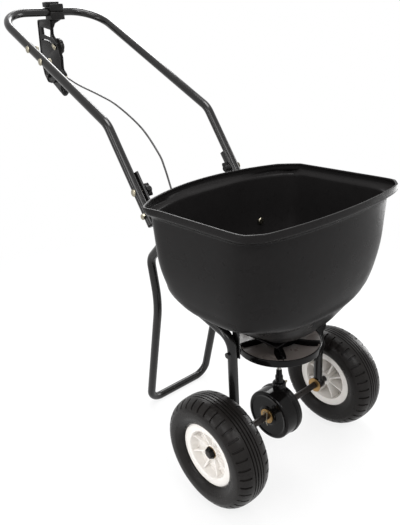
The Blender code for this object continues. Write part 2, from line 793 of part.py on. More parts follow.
def wing_knob(side, inside):
    centre = Vector((0, WING_BOLT.y, WING_BOLT.z))
    start = centre + Vector((side * inside, 0, 0))
    end = centre + Vector((side * (inside - WING_HUB_LENGTH), 0, 0))
    hub = rod(start, end, WING_HUB_RADIUS, 14, 0.8 * WING_HUB_RADIUS)
    half = WING_SPAN / 2
    across = LOWER_ARM * half
    outline = hull_of_two((centre.y - across.y * 0.72, centre.z - across.z * 0.72), 0.28 * half,
                          (centre.y + across.y * 0.72, centre.z + across.z * 0.72), 0.28 * half, 6)
    low, high = sorted((side * (inside - 0.004), side * (inside - WING_HUB_LENGTH + 0.002)))
    wings = plate("YZ", outline, low, high)
    knob = join(hub, wings)
    socket = drill(start, "X", BOLT_RADIUS + GAP, 0.0095, 12)
    return cut(knob, socket)


# Hopper and what is under it

def hopper_spread(x, y, half_width, front, rear, squareness, cut_off=CHAMFER_CUT):
    """Under one inside a level outline of the hopper, before its front and rear are bowed."""
    depth = rear if y > 0 else front
    power = squareness
    if y < 0 and squareness > 4:
        power = 4 + FRONT_SOFTNESS * (squareness - 4)
    spread = (abs(x) / half_width) ** power + (abs(y) / depth) ** power
    if y > 0 and squareness > 4:
        away = 1 - cut_off * min(1, (squareness - 4) / 2.5)
        limit = away * (half_width * cos(CHAMFER_ANGLE) + rear * sin(CHAMFER_ANGLE))
        spread += ((abs(x) * cos(CHAMFER_ANGLE) + y * sin(CHAMFER_ANGLE)) / limit) ** (3 * squareness)
    return spread


def bowed(x, y, half_width, rear_bow=REAR_BOW):
    return y * (1 - (rear_bow if y > 0 else FRONT_BOW) * (x / half_width) ** 2)


def hopper_ring(height, half_width, front, rear, squareness, cut_off=CHAMFER_CUT, rear_bow=REAR_BOW):
    """One level outline: a rounded rectangle with bowed front and rear and cut rear corners."""
    ring = []
    for i in range(HOPPER_SIDES):
        angle = 2 * pi * i / HOPPER_SIDES
        c, s = cos(angle), sin(angle)
        x = copysign(half_width * abs(c) ** CORNER_CROWDING, c)
        y = copysign((rear if s > 0 else front) * abs(s) ** CORNER_CROWDING, s)
        low, high = 0.3, 1.2
        for _ in range(30):
            middle = (low + high) / 2
            if hopper_spread(middle * x, middle * y, half_width, front, rear, squareness, cut_off) < 1:
                low = middle
            else:
                high = middle
        ring.append((low * x, bowed(low * x, low * y, half_width, rear_bow), height))
    return ring


# Each level: height, half width, reach to the front and to the rear, squareness
HOPPER_LEVELS = (
    (RIM_Z - COLLAR_HEIGHT - COLLAR_FLARE, HOPPER_HALF_WIDTH, HOPPER_FRONT, HOPPER_REAR, 10.0),
    (0.614, 0.228, 0.162, 0.208, 9.5),
    (0.559, 0.2255, 0.159, 0.206, 9.0),
    (0.520, 0.2215, 0.155, 0.202, 7.5),
    (0.480, 0.2145, 0.149, 0.192, 5.4),
    (0.455, 0.206, 0.143, 0.158, 3.6),
    (0.440, 0.178, 0.136, 0.138, 3.0),
    (0.420, 0.149, 0.124, 0.122, 2.8),
    (0.400, 0.121, 0.109, 0.108, 3.0),
    (0.380, 0.090, 0.089, 0.088, 3.2),
)


def hopper_parts():
    mouth = (HOPPER_HALF_WIDTH + COLLAR_OUT, HOPPER_FRONT + COLLAR_REACH, MOUTH_REAR,
             MOUTH_SQUARENESS, 0, MOUTH_BOW)
    rings = [hopper_ring(RIM_Z, *mouth), hopper_ring(RIM_Z - COLLAR_HEIGHT, *mouth)]
    for height, half_width, front, rear, squareness in HOPPER_LEVELS:
        rings.append(hopper_ring(height, half_width, front, rear, squareness))
    rings.append(hopper_ring(FLOOR_Z, FLOOR_HALF, FLOOR_HALF, FLOOR_HALF, 4.5))
    work = bmesh.new()
    rows = [[work.verts.new(point) for point in ring] for ring in rings]
    for upper, lower in zip(rows, rows[1:]):
        for i in range(HOPPER_SIDES):
            k = (i + 1) % HOPPER_SIDES
            work.faces.new((upper[i], upper[k], lower[k], lower[i]))
    work.faces.new(rows[-1])
    bmesh.ops.recalc_face_normals(work, faces=work.faces)
    work.faces.ensure_lookup_table()
    floor = work.faces[-1]
    if floor.normal.z < 0:
        bmesh.ops.reverse_faces(work, faces=work.faces)
    mesh = bpy.data.meshes.new("hopper")
    work.to_mesh(mesh)
    work.free()
    shell = add("hopper", mesh)
    wall = shell.modifiers.new("wall", "SOLIDIFY")
    wall.thickness = HOPPER_WALL
    wall.offset = -1
    wall.use_even_offset = True
    shell = settle(shell)
    cutters = [drill((0, 0, FLOOR_Z), "Z", hopper_bushing_radius() + GAP, 0.01, 20)]
    for side in (-1, 1):
        low, high = sorted((side * OUTLET_INNER_X, side * (OUTLET_INNER_X + OUTLET_WIDTH)))
        cutters.append(block((low, -OUTLET_LENGTH / 2, FLOOR_Z - 0.01),
                             (high, OUTLET_LENGTH / 2, FLOOR_Z + 0.01)))
        cutters.append(rod(*hopper_bolt_line(side), BOLT_RADIUS + GAP, 12))
    part("hopper", cut(shell, *cutters), HOPPER_PLASTIC, SPREADER)
    bushing_profile = [
        (SHAFT_RADIUS + RUNNING_GAP, FLOOR_Z + 0.0035), (hopper_bushing_radius() + 0.0015, FLOOR_Z + 0.0035),
        (hopper_bushing_radius() + 0.0015, FLOOR_Z + GAP), (hopper_bushing_radius(), FLOOR_Z + GAP),
        (hopper_bushing_radius(), FLOOR_UNDER), (SHAFT_RADIUS + RUNNING_GAP, FLOOR_UNDER),
    ]
    bush = turned(bushing_profile, (0, 0, 0), "Z", 20, ring=True)
    part("hopper_bushing", bush, WHITE_PLASTIC, SPREADER)


def hopper_bushing_radius():
    return SHAFT_RADIUS + 0.0035


HOPPER_BOLT_Z = 0.545


def hopper_bolt_line(side):
    """The axis of the bolt that holds the hopper's rear wall to the frame tube."""
    centre = rear_run(HOPPER_BOLT_Z)
    centre.x *= side
    return centre + Vector((0, -0.06, 0)), centre + Vector((0, 0.03, 0))


def rear_wall_inside(x, height):
    """Y of the hopper's inner face at the rear, from the same levels as its rings."""
    for upper, lower in zip(HOPPER_LEVELS, HOPPER_LEVELS[1:]):
        if lower[0] <= height <= upper[0]:
            mix = (height - lower[0]) / (upper[0] - lower[0])
            level = [lower[k] + (upper[k] - lower[k]) * mix for k in (1, 2, 3, 4)]
            inner, outer = 0.0, level[2]
            for _ in range(30):
                middle = (inner + outer) / 2
                if hopper_spread(x, middle, *level) < 1:
                    inner = middle
                else:
                    outer = middle
            return bowed(x, inner, level[0])
    return HOPPER_REAR


def hopper_bolts():
    for side, name in ((-1, "right"), (1, "left")):
        centre = rear_run(HOPPER_BOLT_Z)
        inside = rear_wall_inside(centre.x, HOPPER_BOLT_Z) - CHAMFER_STANDOFF
        behind = centre.y + TUBE_RADIUS + HEAD_STANDOFF
        bolt = through_bolt((side * centre.x, inside, centre.z), (side * centre.x, behind, centre.z),
                            round_head=CARRIAGE_HEAD)
        part("hopper_bolt_" + name, bolt, ZINC, SPREADER)


def gate_parts():
    """The gate rests shut, and a push on its tail brings its windows under the outlets."""
    window_start = OUTLET_LENGTH / 2 + 0.002
    window_end = window_start + OUTLET_LENGTH
    slot = SHAFT_RADIUS + 0.0025
    half = GATE_HALF_WIDTH - GAP
    front = -OUTLET_LENGTH / 2 - GATE_MARGIN
    rear = window_end + GATE_MARGIN
    outline = smooth_corners([
        (-half, front), (half, front), (half, rear), (GATE_TAIL_HALF_WIDTH, rear + 0.010),
        (GATE_TAIL_HALF_WIDTH, GATE_TAIL_Y), (-GATE_TAIL_HALF_WIDTH, GATE_TAIL_Y),
        (-GATE_TAIL_HALF_WIDTH, rear + 0.010), (-half, rear),
    ], 0.003, 2)
    holes = [arc((0, GATE_TRAVEL), slot, 0, pi, 8) + arc((0, 0), slot, pi, 2 * pi, 8)]
    for side in (-1, 1):
        low, high = sorted((side * OUTLET_INNER_X, side * (OUTLET_INNER_X + OUTLET_WIDTH)))
        holes.append([(low, window_start), (high, window_start), (high, window_end), (low, window_end)])
    holes.append(circle((0, GATE_TAIL_Y - 0.008), 0.002, 8))
    part("gate", plate("XY", outline, GATE_BOTTOM, GATE_TOP, holes), STEEL, GATE_BODY)
    lip_top = GATE_BOTTOM - GAP
    for side, name in ((-1, "right"), (1, "left")):
        inner, outer = side * GATE_HALF_WIDTH, side * RAIL_HALF_SPAN
        lip = side * (GATE_HALF_WIDTH - RAIL_LIP)
        bar = block((min(inner, outer), RAIL_FRONT, lip_top - GATE_THICKNESS),
                    (max(inner, outer), RAIL_REAR, GATE_TOP))
        under = block((min(lip, outer * 0.8), RAIL_FRONT, lip_top - GATE_THICKNESS),
                      (max(lip, outer * 0.8), RAIL_REAR, lip_top))
        part("gate_rail_" + name, join(bar, under), BLACK_PLASTIC, SPREADER)


def cable_bracket():
    """A tee-shaped strip under the rails, with an upright tab that holds the cable's end."""
    top = GATE_BOTTOM - GAP - GATE_THICKNESS - GAP
    bottom = top - BRACKET_THICKNESS
    wide = GATE_HALF_WIDTH + 0.012
    end = CABLE_TAB_Y + BRACKET_THICKNESS
    outline = [(-wide, 0.018), (wide, 0.018), (wide, 0.033), (0.010, 0.033),
               (0.010, end), (-0.010, end), (-0.010, 0.033), (-wide, 0.033)]
    strip = plate("XY", outline, bottom, top)
    tab = block((-0.010, CABLE_TAB_Y, bottom + 0.001), (0.010, end, CABLE_LOW_Z + 0.010))
    bracket = join(strip, tab)
    hole = drill((0, CABLE_TAB_Y, CABLE_LOW_Z), "Y", FERRULE_RADIUS + GAP, 0.01, 12)
    part("cable_bracket", cut(bracket, hole), ZINC, SPREADER)


CABLE_TAB_Y = 0.112
CABLE_LOW_Z = GATE_BOTTOM + 0.010


def side_deflector():
    outer = POST_INSIDE
    inner = outer - PLATE_THICKNESS
    outline = smooth_corners([
        (-0.020, 0.372), (-0.0265, 0.335), (-0.031, 0.318), (-0.018, 0.290), (-0.030, 0.264),
        (-0.012, 0.226), (-0.007, 0.206), (0.052, 0.206), (0.060, 0.300), (0.056, 0.372),
    ], 0.012, 3)
    sheet = plate("YZ", outline, inner, outer)
    hole = drill((POST_X, 0, POST_BOLT_Z), "X", BOLT_RADIUS + GAP, 0.03, 12)
    part("side_deflector", cut(sheet, hole), BLACK_PLASTIC, SPREADER)


def slope_at(half_width):
    """Height of the hopper's inner face, at a half width on the line across the axle."""
    for upper, lower in zip(HOPPER_LEVELS, HOPPER_LEVELS[1:]):
        if lower[1] <= half_width <= upper[1]:
            mix = (half_width - lower[1]) / (upper[1] - lower[1])
            return lower[0] + (upper[0] - lower[0]) * mix
    return FLOOR_Z


def hopper_brackets():
    drop = HOPPER_WALL * 1.25 + 0.0008
    for side, name in ((-1, "right"), (1, "left")):
        outer = POST_INSIDE - (PLATE_THICKNESS + GAP if side > 0 else 0)
        inner = outer - BRACKET_THICKNESS
        tip = outer - 0.030
        rise, low = slope_at(outer) - drop, slope_at(tip) - drop
        outline = [(outer, 0.340), (outer, rise), (tip, low), (tip, low - 0.0036),
                   (inner, rise - 0.0048), (inner, 0.340)]
        strap = plate("XZ", [(side * x, z) for x, z in outline], -0.010, 0.010)
        hole = drill((side * POST_X, 0, POST_BOLT_Z), "X", BOLT_RADIUS + GAP, 0.04, 12)
        part("hopper_bracket_" + name, cut(strap, hole), BLACK_PAINT, SPREADER)
        outside = side * (POST_X + TUBE_RADIUS + GAP)
        bolt = through_bolt((outside, 0, POST_BOLT_Z), (side * (inner - GAP), 0, POST_BOLT_Z))
        part("post_bolt_" + name, bolt, BLACK_PAINT, SPREADER)


# Impeller, agitator and gears

def fin_outline():
    """A fin that sweeps back a little as it goes out."""
    points = []
    for i in range(7):
        radius = FIN_INNER + (FIN_OUTER - FIN_INNER) * i / 6
        points.append((radius, 0.010 * (i / 6) ** 2))
    near = [(x, y - FIN_THICKNESS / 2) for x, y in points]
    far = [(x, y + FIN_THICKNESS / 2) for x, y in reversed(points)]
    return near + far


def impeller_parts():
    shaft = rod((0, 0, SHAFT_BOTTOM_Z), (0, 0, SHAFT_TOP_Z), SHAFT_RADIUS, 16)
    part("impeller_shaft", shaft, STEEL, IMPELLER_BODY)
    bore = SHAFT_RADIUS + GAP
    bottom = IMPELLER_TOP_Z - IMPELLER_BAND
    under = IMPELLER_TOP_Z - IMPELLER_WALL
    profile = [
        (bore, IMPELLER_TOP_Z + CONE_HEIGHT), (bore + 0.007, IMPELLER_TOP_Z + CONE_HEIGHT),
        (CONE_RADIUS * 0.55, IMPELLER_TOP_Z + 0.6 * CONE_HEIGHT), (CONE_RADIUS, IMPELLER_TOP_Z),
        (IMPELLER_RADIUS - 0.0015, IMPELLER_TOP_Z), (IMPELLER_RADIUS, IMPELLER_TOP_Z - 0.0015),
        (IMPELLER_RADIUS, bottom), (IMPELLER_RADIUS - IMPELLER_WALL, bottom),
        (IMPELLER_RADIUS - IMPELLER_WALL, under), (IMPELLER_HUB_RADIUS, under),
        (IMPELLER_HUB_RADIUS, bottom), (bore, bottom),
    ]
    disc = turned(profile, (0, 0, 0), "Z", 36, ring=True)
    fins = []
    for i in range(FIN_COUNT):
        turn = 2 * pi * i / FIN_COUNT + radians(FIRST_FIN)
        outline = [(x * cos(turn) - y * sin(turn), x * sin(turn) + y * cos(turn))
                   for x, y in fin_outline()]
        fins.append(plate("XY", outline, under + 0.001, IMPELLER_TOP_Z + FIN_HEIGHT))
    part("impeller", join(disc, *fins), GLOSS_BLACK, IMPELLER_BODY)
    part("agitator", agitator(), STEEL, IMPELLER_BODY)
    part("impeller_pinion", pinion(), STEEL, IMPELLER_BODY)


def agitator():
    """A collar on the shaft with two bent stirring fingers."""
    low = FLOOR_Z + 0.0035 + RUNNING_GAP
    bore, collar = SHAFT_RADIUS + GAP, SHAFT_RADIUS + 0.004
    ring = turned([(bore, low + 0.014), (collar, low + 0.014), (collar, low), (bore, low)],
                  (0, 0, 0), "Z", 16, ring=True)
    middle = low + 0.007
    fingers = []
    for side, reach, rise in ((-1, 0.024, AGITATOR_HEIGHT), (1, 0.030, 0.55 * AGITATOR_HEIGHT)):
        route = [(side * (bore + 0.002), 0, middle), (side * reach, 0, middle),
                 (side * reach * 1.15, 0, middle + rise)]
        fingers.append(pipe(rounded(route, [0.008], radians(20)), AGITATOR_WIRE, 8))
    return join(ring, *fingers)


def tooth_half_widths():
    """Half widths of a tooth at its root and at its tip."""
    width = TOOTH_SHARE * pi * GEAR_MODULE
    root = width / 2 + DEDENDUM * GEAR_MODULE * tan(FLANK_ANGLE)
    tip = width / 2 - ADDENDUM * GEAR_MODULE * tan(FLANK_ANGLE)
    return root, tip


def pinion():
    root, tip = tooth_half_widths()
    root_radius = PINION_RADIUS - DEDENDUM * GEAR_MODULE
    tip_radius = PINION_RADIUS + ADDENDUM * GEAR_MODULE
    outline = []
    for i in range(PINION_TEETH):
        middle = 2 * pi * (i + 0.5) / PINION_TEETH
        root_turn = min(root / root_radius, 0.46 * 2 * pi / PINION_TEETH)
        tip_turn = tip / tip_radius
        for radius, turn in ((root_radius, -root_turn), (tip_radius, -tip_turn),
                             (tip_radius, tip_turn), (root_radius, root_turn)):
            outline.append((radius * cos(middle + turn), radius * sin(middle + turn)))
    body = plate("XY", outline, PINION_Z - GEAR_FACE / 2, PINION_Z + GEAR_FACE / 2)
    hub = rod((0, 0, PINION_Z + GEAR_FACE / 2 - 0.001), (0, 0, PINION_Z + GEAR_FACE / 2 + 0.003),
              root_radius - 0.0002, 20)
    gear = join(body, hub)
    return cut(gear, drill((0, 0, PINION_Z), "Z", SHAFT_RADIUS + GAP, 0.02, 16))


def gear_pin_x():
    return -(PINION_RADIUS + DEDENDUM * GEAR_MODULE + CROWN_THICKNESS + 0.0065)


def crown_gear():
    """A disc on the axle with teeth on the face that meets the pinion."""
    pitch_x = -PINION_RADIUS
    root_x = pitch_x - DEDENDUM * GEAR_MODULE
    tip_x = pitch_x + ADDENDUM * GEAR_MODULE
    back_x = root_x - CROWN_THICKNESS
    hub_x = back_x - 0.011
    outer = CROWN_RADIUS + GEAR_FACE / 2
    inner = CROWN_RADIUS - GEAR_FACE / 2
    hub_radius = AXLE_RADIUS + 0.0065
    bore = AXLE_RADIUS + GAP
    root, tip = tooth_half_widths()
    stations = []
    for i in range(CROWN_TEETH):
        middle = 2 * pi * i / CROWN_TEETH
        for offset, height in ((-root, root_x), (-tip, tip_x), (tip, tip_x), (root, root_x)):
            at_outer, at_inner = middle + asin(offset / outer), middle + asin(offset / inner)
            stations.append((
                (hub_radius - 0.001, at_inner, back_x), (outer, at_outer, back_x),
                (outer, at_outer, height), (inner, at_inner, height), (inner, at_inner, root_x),
                (hub_radius - 0.001, at_inner, root_x),
            ))
    work = bmesh.new()
    columns = [[work.verts.new((x, -r * sin(turn), AXLE_Z + r * cos(turn))) for r, turn, x in column]
               for column in stations]
    for i, column in enumerate(columns):
        following = columns[(i + 1) % len(columns)]
        for k in range(len(column)):
            n = (k + 1) % len(column)
            work.faces.new((column[k], column[n], following[n], following[k]))
    bmesh.ops.remove_doubles(work, verts=work.verts, dist=WELD)
    bmesh.ops.recalc_face_normals(work, faces=work.faces)
    mesh = bpy.data.meshes.new("teeth")
    work.to_mesh(mesh)
    work.free()
    profile = [(bore, -root_x), (hub_radius, -root_x), (hub_radius, -hub_x), (bore, -hub_x)]
    hub = turned(list(reversed(profile)), (0, 0, AXLE_Z), "-X", 20, ring=True)
    gear = join(hub, add("teeth", mesh))
    hole = drill((gear_pin_x(), 0, AXLE_Z), "Z", GEAR_PIN_RADIUS + GAP, 0.02, 10)
    part("crown_gear", cut(gear, hole), STEEL, AXLE_BODY)
    reach = Vector((0, 0, hub_radius - 0.0005))
    centre = Vector((gear_pin_x(), 0, AXLE_Z))
    part("gear_pin", rod(centre - reach, centre + reach, GEAR_PIN_RADIUS, 10), ZINC, AXLE_BODY)


# Gearbox

def gearbox_parts():
    centre = Vector((0, 0, AXLE_Z))
    edge = 0.004
    case_profile = [
        (0, CASING_RIGHT), (CASING_RADIUS - edge, CASING_RIGHT), (CASING_RADIUS, CASING_RIGHT - edge),
        (CASING_RADIUS, SEAM_WIDTH / 2), (SEAM_RADIUS, SEAM_WIDTH / 2), (SEAM_RADIUS, -SEAM_WIDTH / 2),
        (CASING_RADIUS, -SEAM_WIDTH / 2), (CASING_RADIUS, edge - CASING_LEFT),
        (CASING_RADIUS - edge, -CASING_LEFT), (0, -CASING_LEFT),
    ]
    case = turned(case_profile, centre, "-X", 36)
    neck_profile = [
        (0, BOOT_TOP_Z), (BOOT_RADIUS * 0.7, BOOT_TOP_Z), (BOOT_RADIUS, NECK_TOP_Z + 0.008),
        (BOOT_RADIUS, NECK_TOP_Z), (NECK_RADIUS, NECK_TOP_Z - 0.002),
        (NECK_RADIUS, AXLE_Z + CASING_RADIUS - 0.012), (0, AXLE_Z + CASING_RADIUS - 0.012),
    ]
    neck = turned(neck_profile, (0, 0, 0), "Z", 20)
    case = join(case, neck)
    inside = CASING_RADIUS - CASING_WALL
    hollow = rod((CASING_WALL - CASING_RIGHT, 0, AXLE_Z), (CASING_LEFT - CASING_WALL, 0, AXLE_Z),
                 inside, 32)
    shaft_bore = rod((0, 0, PINION_Z), (0, 0, BOOT_TOP_Z + 0.01), SHAFT_RADIUS + RUNNING_GAP, 16)
    axle_bore = drill((0, 0, AXLE_Z), "X", BUSHING_RADIUS + GAP, 0.08, 20)
    fitting_bore = rod((0.009, 0, FITTING_Z), (0.03, 0, FITTING_Z), 0.003 + GAP, 12)
    case = cut(case, hollow, shaft_bore, axle_bore, fitting_bore)
    other = case.copy()
    other.data = case.data.copy()
    PARTS.objects.link(other)
    right = keep_inside(case, block((-0.1, -0.1, 0), (-GAP / 2, 0.1, 0.3)))
    left = keep_inside(other, block((GAP / 2, -0.1, 0), (0.1, 0.1, 0.3)))
    part("gearbox_housing_right", right, GLOSS_BLACK, SPREADER)
    part("gearbox_housing_left", left, GLOSS_BLACK, SPREADER)
    half = CASING_WALL / 2
    bushing(Vector((-CASING_RIGHT + half, 0, AXLE_Z)), -1, half, "gearbox_bushing_right")
    bushing(Vector((CASING_LEFT - half, 0, AXLE_Z)), 1, half, "gearbox_bushing_left")
    fitting = turned([
        (0, NECK_RADIUS + 0.012), (0.0018, NECK_RADIUS + 0.012), (0.003, NECK_RADIUS + 0.010),
        (0.002, NECK_RADIUS + 0.008), (0.0045, NECK_RADIUS + 0.0055), (0.0045, NECK_RADIUS + GAP),
        (0.003, NECK_RADIUS + GAP), (0.003, 0.010), (0, 0.010),
    ], (0, 0, FITTING_Z), "X", 10)
    part("grease_fitting", fitting, ZINC, SPREADER)


# Flow control

def control_parts():
    bar_bore = drill((CLAMP_WIDTH / 2, CROSSBAR.y, CROSSBAR.z), "X", TUBE_RADIUS + GAP, 0.08, 24)
    top_of_plate = CROSSBAR.z - CLAMP_HALF_HEIGHT + 0.004
    outline = smooth_corners([
        (0.890, top_of_plate), (0.970, top_of_plate), (CONTROL_REAR_Y, 0.938), (0.972, 0.901),
        (0.956, 0.879), (0.932, 0.876), (0.905, 0.888), (0.852, 0.888), (0.846, 0.903), (0.862, 0.918),
        (0.858, 0.952), (0.870, 0.990), (0.896, 1.016),
    ], 0.010, 3)
    window = smooth_corners([(0.951, 1.042), (0.908, 1.034), (0.910, 1.015), (0.951, 1.022)], 0.003, 2)
    centre = (PIVOT.y, PIVOT.z)
    slot = band(centre, SLOT_RADIUS, SLOT_WIDTH, SLOT_START, STOP_ANGLE + radians(3), 8)
    bolt_hole = circle(centre, BOLT_RADIUS + GAP, 12)
    sheet = plate("YZ", outline, 0, CONTROL_THICKNESS, [window, slot, bolt_hole])
    jaw = block((CLAMP_INSET, CROSSBAR.y - CLAMP_HALF_DEPTH, CROSSBAR.z - CLAMP_HALF_HEIGHT),
                (CLAMP_WIDTH, CROSSBAR.y + CLAMP_HALF_DEPTH, CROSSBAR.z - GAP / 2))
    gusset = plate("XZ", [
        (0.002, CROSSBAR.z - CLAMP_HALF_HEIGHT + 0.001),
        (CLAMP_WIDTH - 0.004, CROSSBAR.z - CLAMP_HALF_HEIGHT + 0.001),
        (CLAMP_WIDTH * 0.40, CROSSBAR.z - CLAMP_HALF_HEIGHT - 0.010),
        (CONTROL_THICKNESS + 0.002, CROSSBAR.z - CLAMP_HALF_HEIGHT - 0.021),
        (0.002, CROSSBAR.z - CLAMP_HALF_HEIGHT - 0.024),
    ], CROSSBAR.y - 0.004, CROSSBAR.y + 0.001)
    body = join(sheet, jaw, gusset)
    screw_line = Vector((CLAMP_WIDTH / 2, 0, 0))
    screw_y = CROSSBAR.y + CLAMP_HALF_DEPTH - 0.0045
    ferrule_hole = rod(*ferrule_line(0.03), FERRULE_RADIUS + GAP, 12)
    screw_hole = drill((screw_line.x, screw_y, CROSSBAR.z), "Z", 0.002 + GAP, 0.06, 10)
    body = cut(body, bar_bore, ferrule_hole, screw_hole)
    part("control_plate", body, BLACK_PLASTIC, HANDLE_BODY)
    cap = block((CLAMP_INSET, CROSSBAR.y - CLAMP_HALF_DEPTH, CROSSBAR.z + GAP / 2),
                (CLAMP_WIDTH, CROSSBAR.y + CLAMP_HALF_DEPTH, CROSSBAR.z + CLAMP_HALF_HEIGHT))
    ridge = block((-0.008, CROSSBAR.y - 0.012, CROSSBAR.z + CLAMP_HALF_HEIGHT - 0.008),
                  (RIDGE_WIDTH - 0.008, CROSSBAR.y + 0.012,
                   CROSSBAR.z + CLAMP_HALF_HEIGHT + RIDGE_HEIGHT))
    cap = join(cap, ridge)
    again = drill((CLAMP_WIDTH / 2, CROSSBAR.y, CROSSBAR.z), "X", TUBE_RADIUS + GAP, 0.08, 24)
    hole = drill((screw_line.x, screw_y, CROSSBAR.z), "Z", 0.002 + GAP, 0.06, 10)
    part("clamp_cap", cut(cap, again, hole), BLACK_PLASTIC, HANDLE_BODY)
    head_z = CROSSBAR.z - CLAMP_HALF_HEIGHT - GAP
    top_z = CROSSBAR.z + CLAMP_HALF_HEIGHT - 0.004
    shank = rod((screw_line.x, screw_y, head_z - 0.001), (screw_line.x, screw_y, top_z), 0.002, 8)
    head = rod((screw_line.x, screw_y, head_z - 0.003), (screw_line.x, screw_y, head_z), 0.004, 10)
    part("clamp_screw", join(shank, head), ZINC, HANDLE_BODY)
    start, end = ferrule_line(FERRULE_LENGTH / 2)
    part("cable_ferrule_upper", rod(start, end, FERRULE_RADIUS, 12), ZINC, HANDLE_BODY)


CABLE_TOP = Vector((0.005, 0.852, 0.8965))
CABLE_TOP_HEADING = Vector((0, -0.966, -0.259))


def ferrule_line(half):
    return CABLE_TOP - CABLE_TOP_HEADING * half, CABLE_TOP + CABLE_TOP_HEADING * half


def lever_parts():
    low = CONTROL_THICKNESS + GAP
    high = low + LEVER_THICKNESS
    centre = (PIVOT.y, PIVOT.z)
    end = (LEVER_END_Y, LEVER_END_Z)
    tip = (PIVOT.y + LEVER_ARM_LENGTH * cos(LEVER_ARM_ANGLE),
           PIVOT.z + LEVER_ARM_LENGTH * sin(LEVER_ARM_ANGLE))
    paddle = plate("YZ", hull_of_two(centre, LEVER_HUB_RADIUS, end, LEVER_END_RADIUS), low, high)
    arm = plate("YZ", hull_of_two(centre, 0.012, tip, 0.007), low, high)
    grip = plate("YZ", circle(end, LEVER_END_RADIUS - 0.004, 16), high - 0.001, high + 0.005)
    lever = join(paddle, arm, grip)
    lever = cut(
        lever,
        drill((low, PIVOT.y, PIVOT.z), "X", BOLT_RADIUS + RUNNING_GAP, 0.03, 12),
        drill((low, tip[0], tip[1]), "X", 0.002, 0.03, 8),
    )
    part("flow_lever", lever, BLACK_PLASTIC, LEVER_BODY)
    bolt = through_bolt((-GAP, PIVOT.y, PIVOT.z), (high + GAP, PIVOT.y, PIVOT.z))
    part("lever_bolt", bolt, BLACK_PAINT, HANDLE_BODY)


def stop_parts():
    """The stop: a curved washer and screw on one side of the slot, and its knob on the other."""
    centre = (PIVOT.y, PIVOT.z)
    stop = (PIVOT.y + SLOT_RADIUS * cos(STOP_ANGLE), PIVOT.z + SLOT_RADIUS * sin(STOP_ANGLE))
    washer = -GAP - STOP_WASHER
    outline = band(centre, SLOT_RADIUS, 0.012, STOP_ANGLE - radians(3), STOP_ANGLE + radians(3), 4)
    slider = plate("YZ", outline, washer, -GAP)
    head = rod((washer + 0.0005, *stop), (washer - 0.0025, *stop), 0.0045, 12)
    knob_face = CONTROL_THICKNESS + GAP
    neck = rod((-0.002, *stop), (CONTROL_THICKNESS - GAP, *stop), SLOT_WIDTH / 2 - GAP, 12)
    stud = rod((CONTROL_THICKNESS - 0.002, *stop), (knob_face + STOP_KNOB_LENGTH * 0.7, *stop),
               STUD_RADIUS, 12)
    part("stop_slider", join(slider, head, neck, stud), ZINC, STOP_BODY)
    knob = turned([
        (0, STOP_KNOB_LENGTH), (STOP_KNOB_RADIUS * 0.55, STOP_KNOB_LENGTH),
        (STOP_KNOB_RADIUS * 0.6, STOP_KNOB_LENGTH - 0.003),
        (STOP_KNOB_RADIUS - 0.002, STOP_KNOB_LENGTH - 0.005),
        (STOP_KNOB_RADIUS, STOP_KNOB_LENGTH - 0.007),
        (STOP_KNOB_RADIUS, 0.002), (STOP_KNOB_RADIUS - 0.002, 0), (STUD_RADIUS + GAP, 0),
        (STUD_RADIUS + GAP, STOP_KNOB_LENGTH * 0.7 + GAP), (0, STOP_KNOB_LENGTH * 0.7 + GAP),
    ], (knob_face, *stop), "X", 20)
    part("stop_knob", knob, BLACK_PLASTIC, STOP_KNOB_BODY)


# Cable

def cable_parts():
    half = FERRULE_LENGTH / 2
    tab = CABLE_TAB_Y + BRACKET_THICKNESS / 2
    part("cable_ferrule_lower",
         rod((0, tab - half, CABLE_LOW_Z), (0, tab + half, CABLE_LOW_Z), FERRULE_RADIUS, 12),
         ZINC, SPREADER)
    start = CABLE_TOP + CABLE_TOP_HEADING * (half + GAP)
    end = Vector((0, tab + half + GAP, CABLE_LOW_Z))
    route = [
        start, start + CABLE_TOP_HEADING * 0.02,
        Vector((0.004, 0.7700, 0.8738)), Vector((0.000, 0.6616, 0.8519)),
        Vector((-0.006, 0.5720, 0.8304)), Vector((-0.014, 0.4580, 0.7824)),
        Vector((-0.024, 0.3787, 0.7264)), Vector((-0.029, 0.3520, 0.6950)),
        Vector((-0.034, 0.3295, 0.6578)), Vector((-0.039, 0.3030, 0.6050)),
        Vector((-0.041, 0.2800, 0.5450)), Vector((-0.038, 0.2600, 0.4750)),
        Vector((-0.028, 0.2360, 0.4120)), Vector((-0.012, 0.1950, 0.3720)),
        end + Vector((0, 0.03, 0.001)), end,
    ]
    part("control_cable", pipe(smooth_route(route, CABLE_STEP), CABLE_RADIUS, 8), CABLE_BLACK, SPREADER)


def smooth_route(points, step):
    """Evenly spaced points on a smooth curve through the route's own points."""
    fine = []
    padded = [points[0] * 2 - points[1], *points, points[-1] * 2 - points[-2]]
    for a, b, c, d in zip(padded, padded[1:], padded[2:], padded[3:]):
        for i in range(24):
            t = i / 24
            fine.append(0.5 * (2 * b + (c - a) * t + (2 * a - 5 * b + 4 * c - d) * t ** 2
                               + (3 * b - a - 3 * c + d) * t ** 3))
    fine.append(points[-1])
    length = sum((q - p).length for p, q in zip(fine, fine[1:]))
    count = round(length / step)
    made, travelled, k = [fine[0]], 0.0, 0
    for i in range(1, count):
        target = length * i / count
        while travelled + (fine[k + 1] - fine[k]).length < target:
            travelled += (fine[k + 1] - fine[k]).length
            k += 1
        share = (target - travelled) / (fine[k + 1] - fine[k]).length
        made.append(fine[k].lerp(fine[k + 1], share))
    made.append(fine[-1])
    return made


clear_scene()
PARTS = bpy.data.collections.new("broadcast_spreader")
bpy.context.scene.collection.children.link(PARTS)

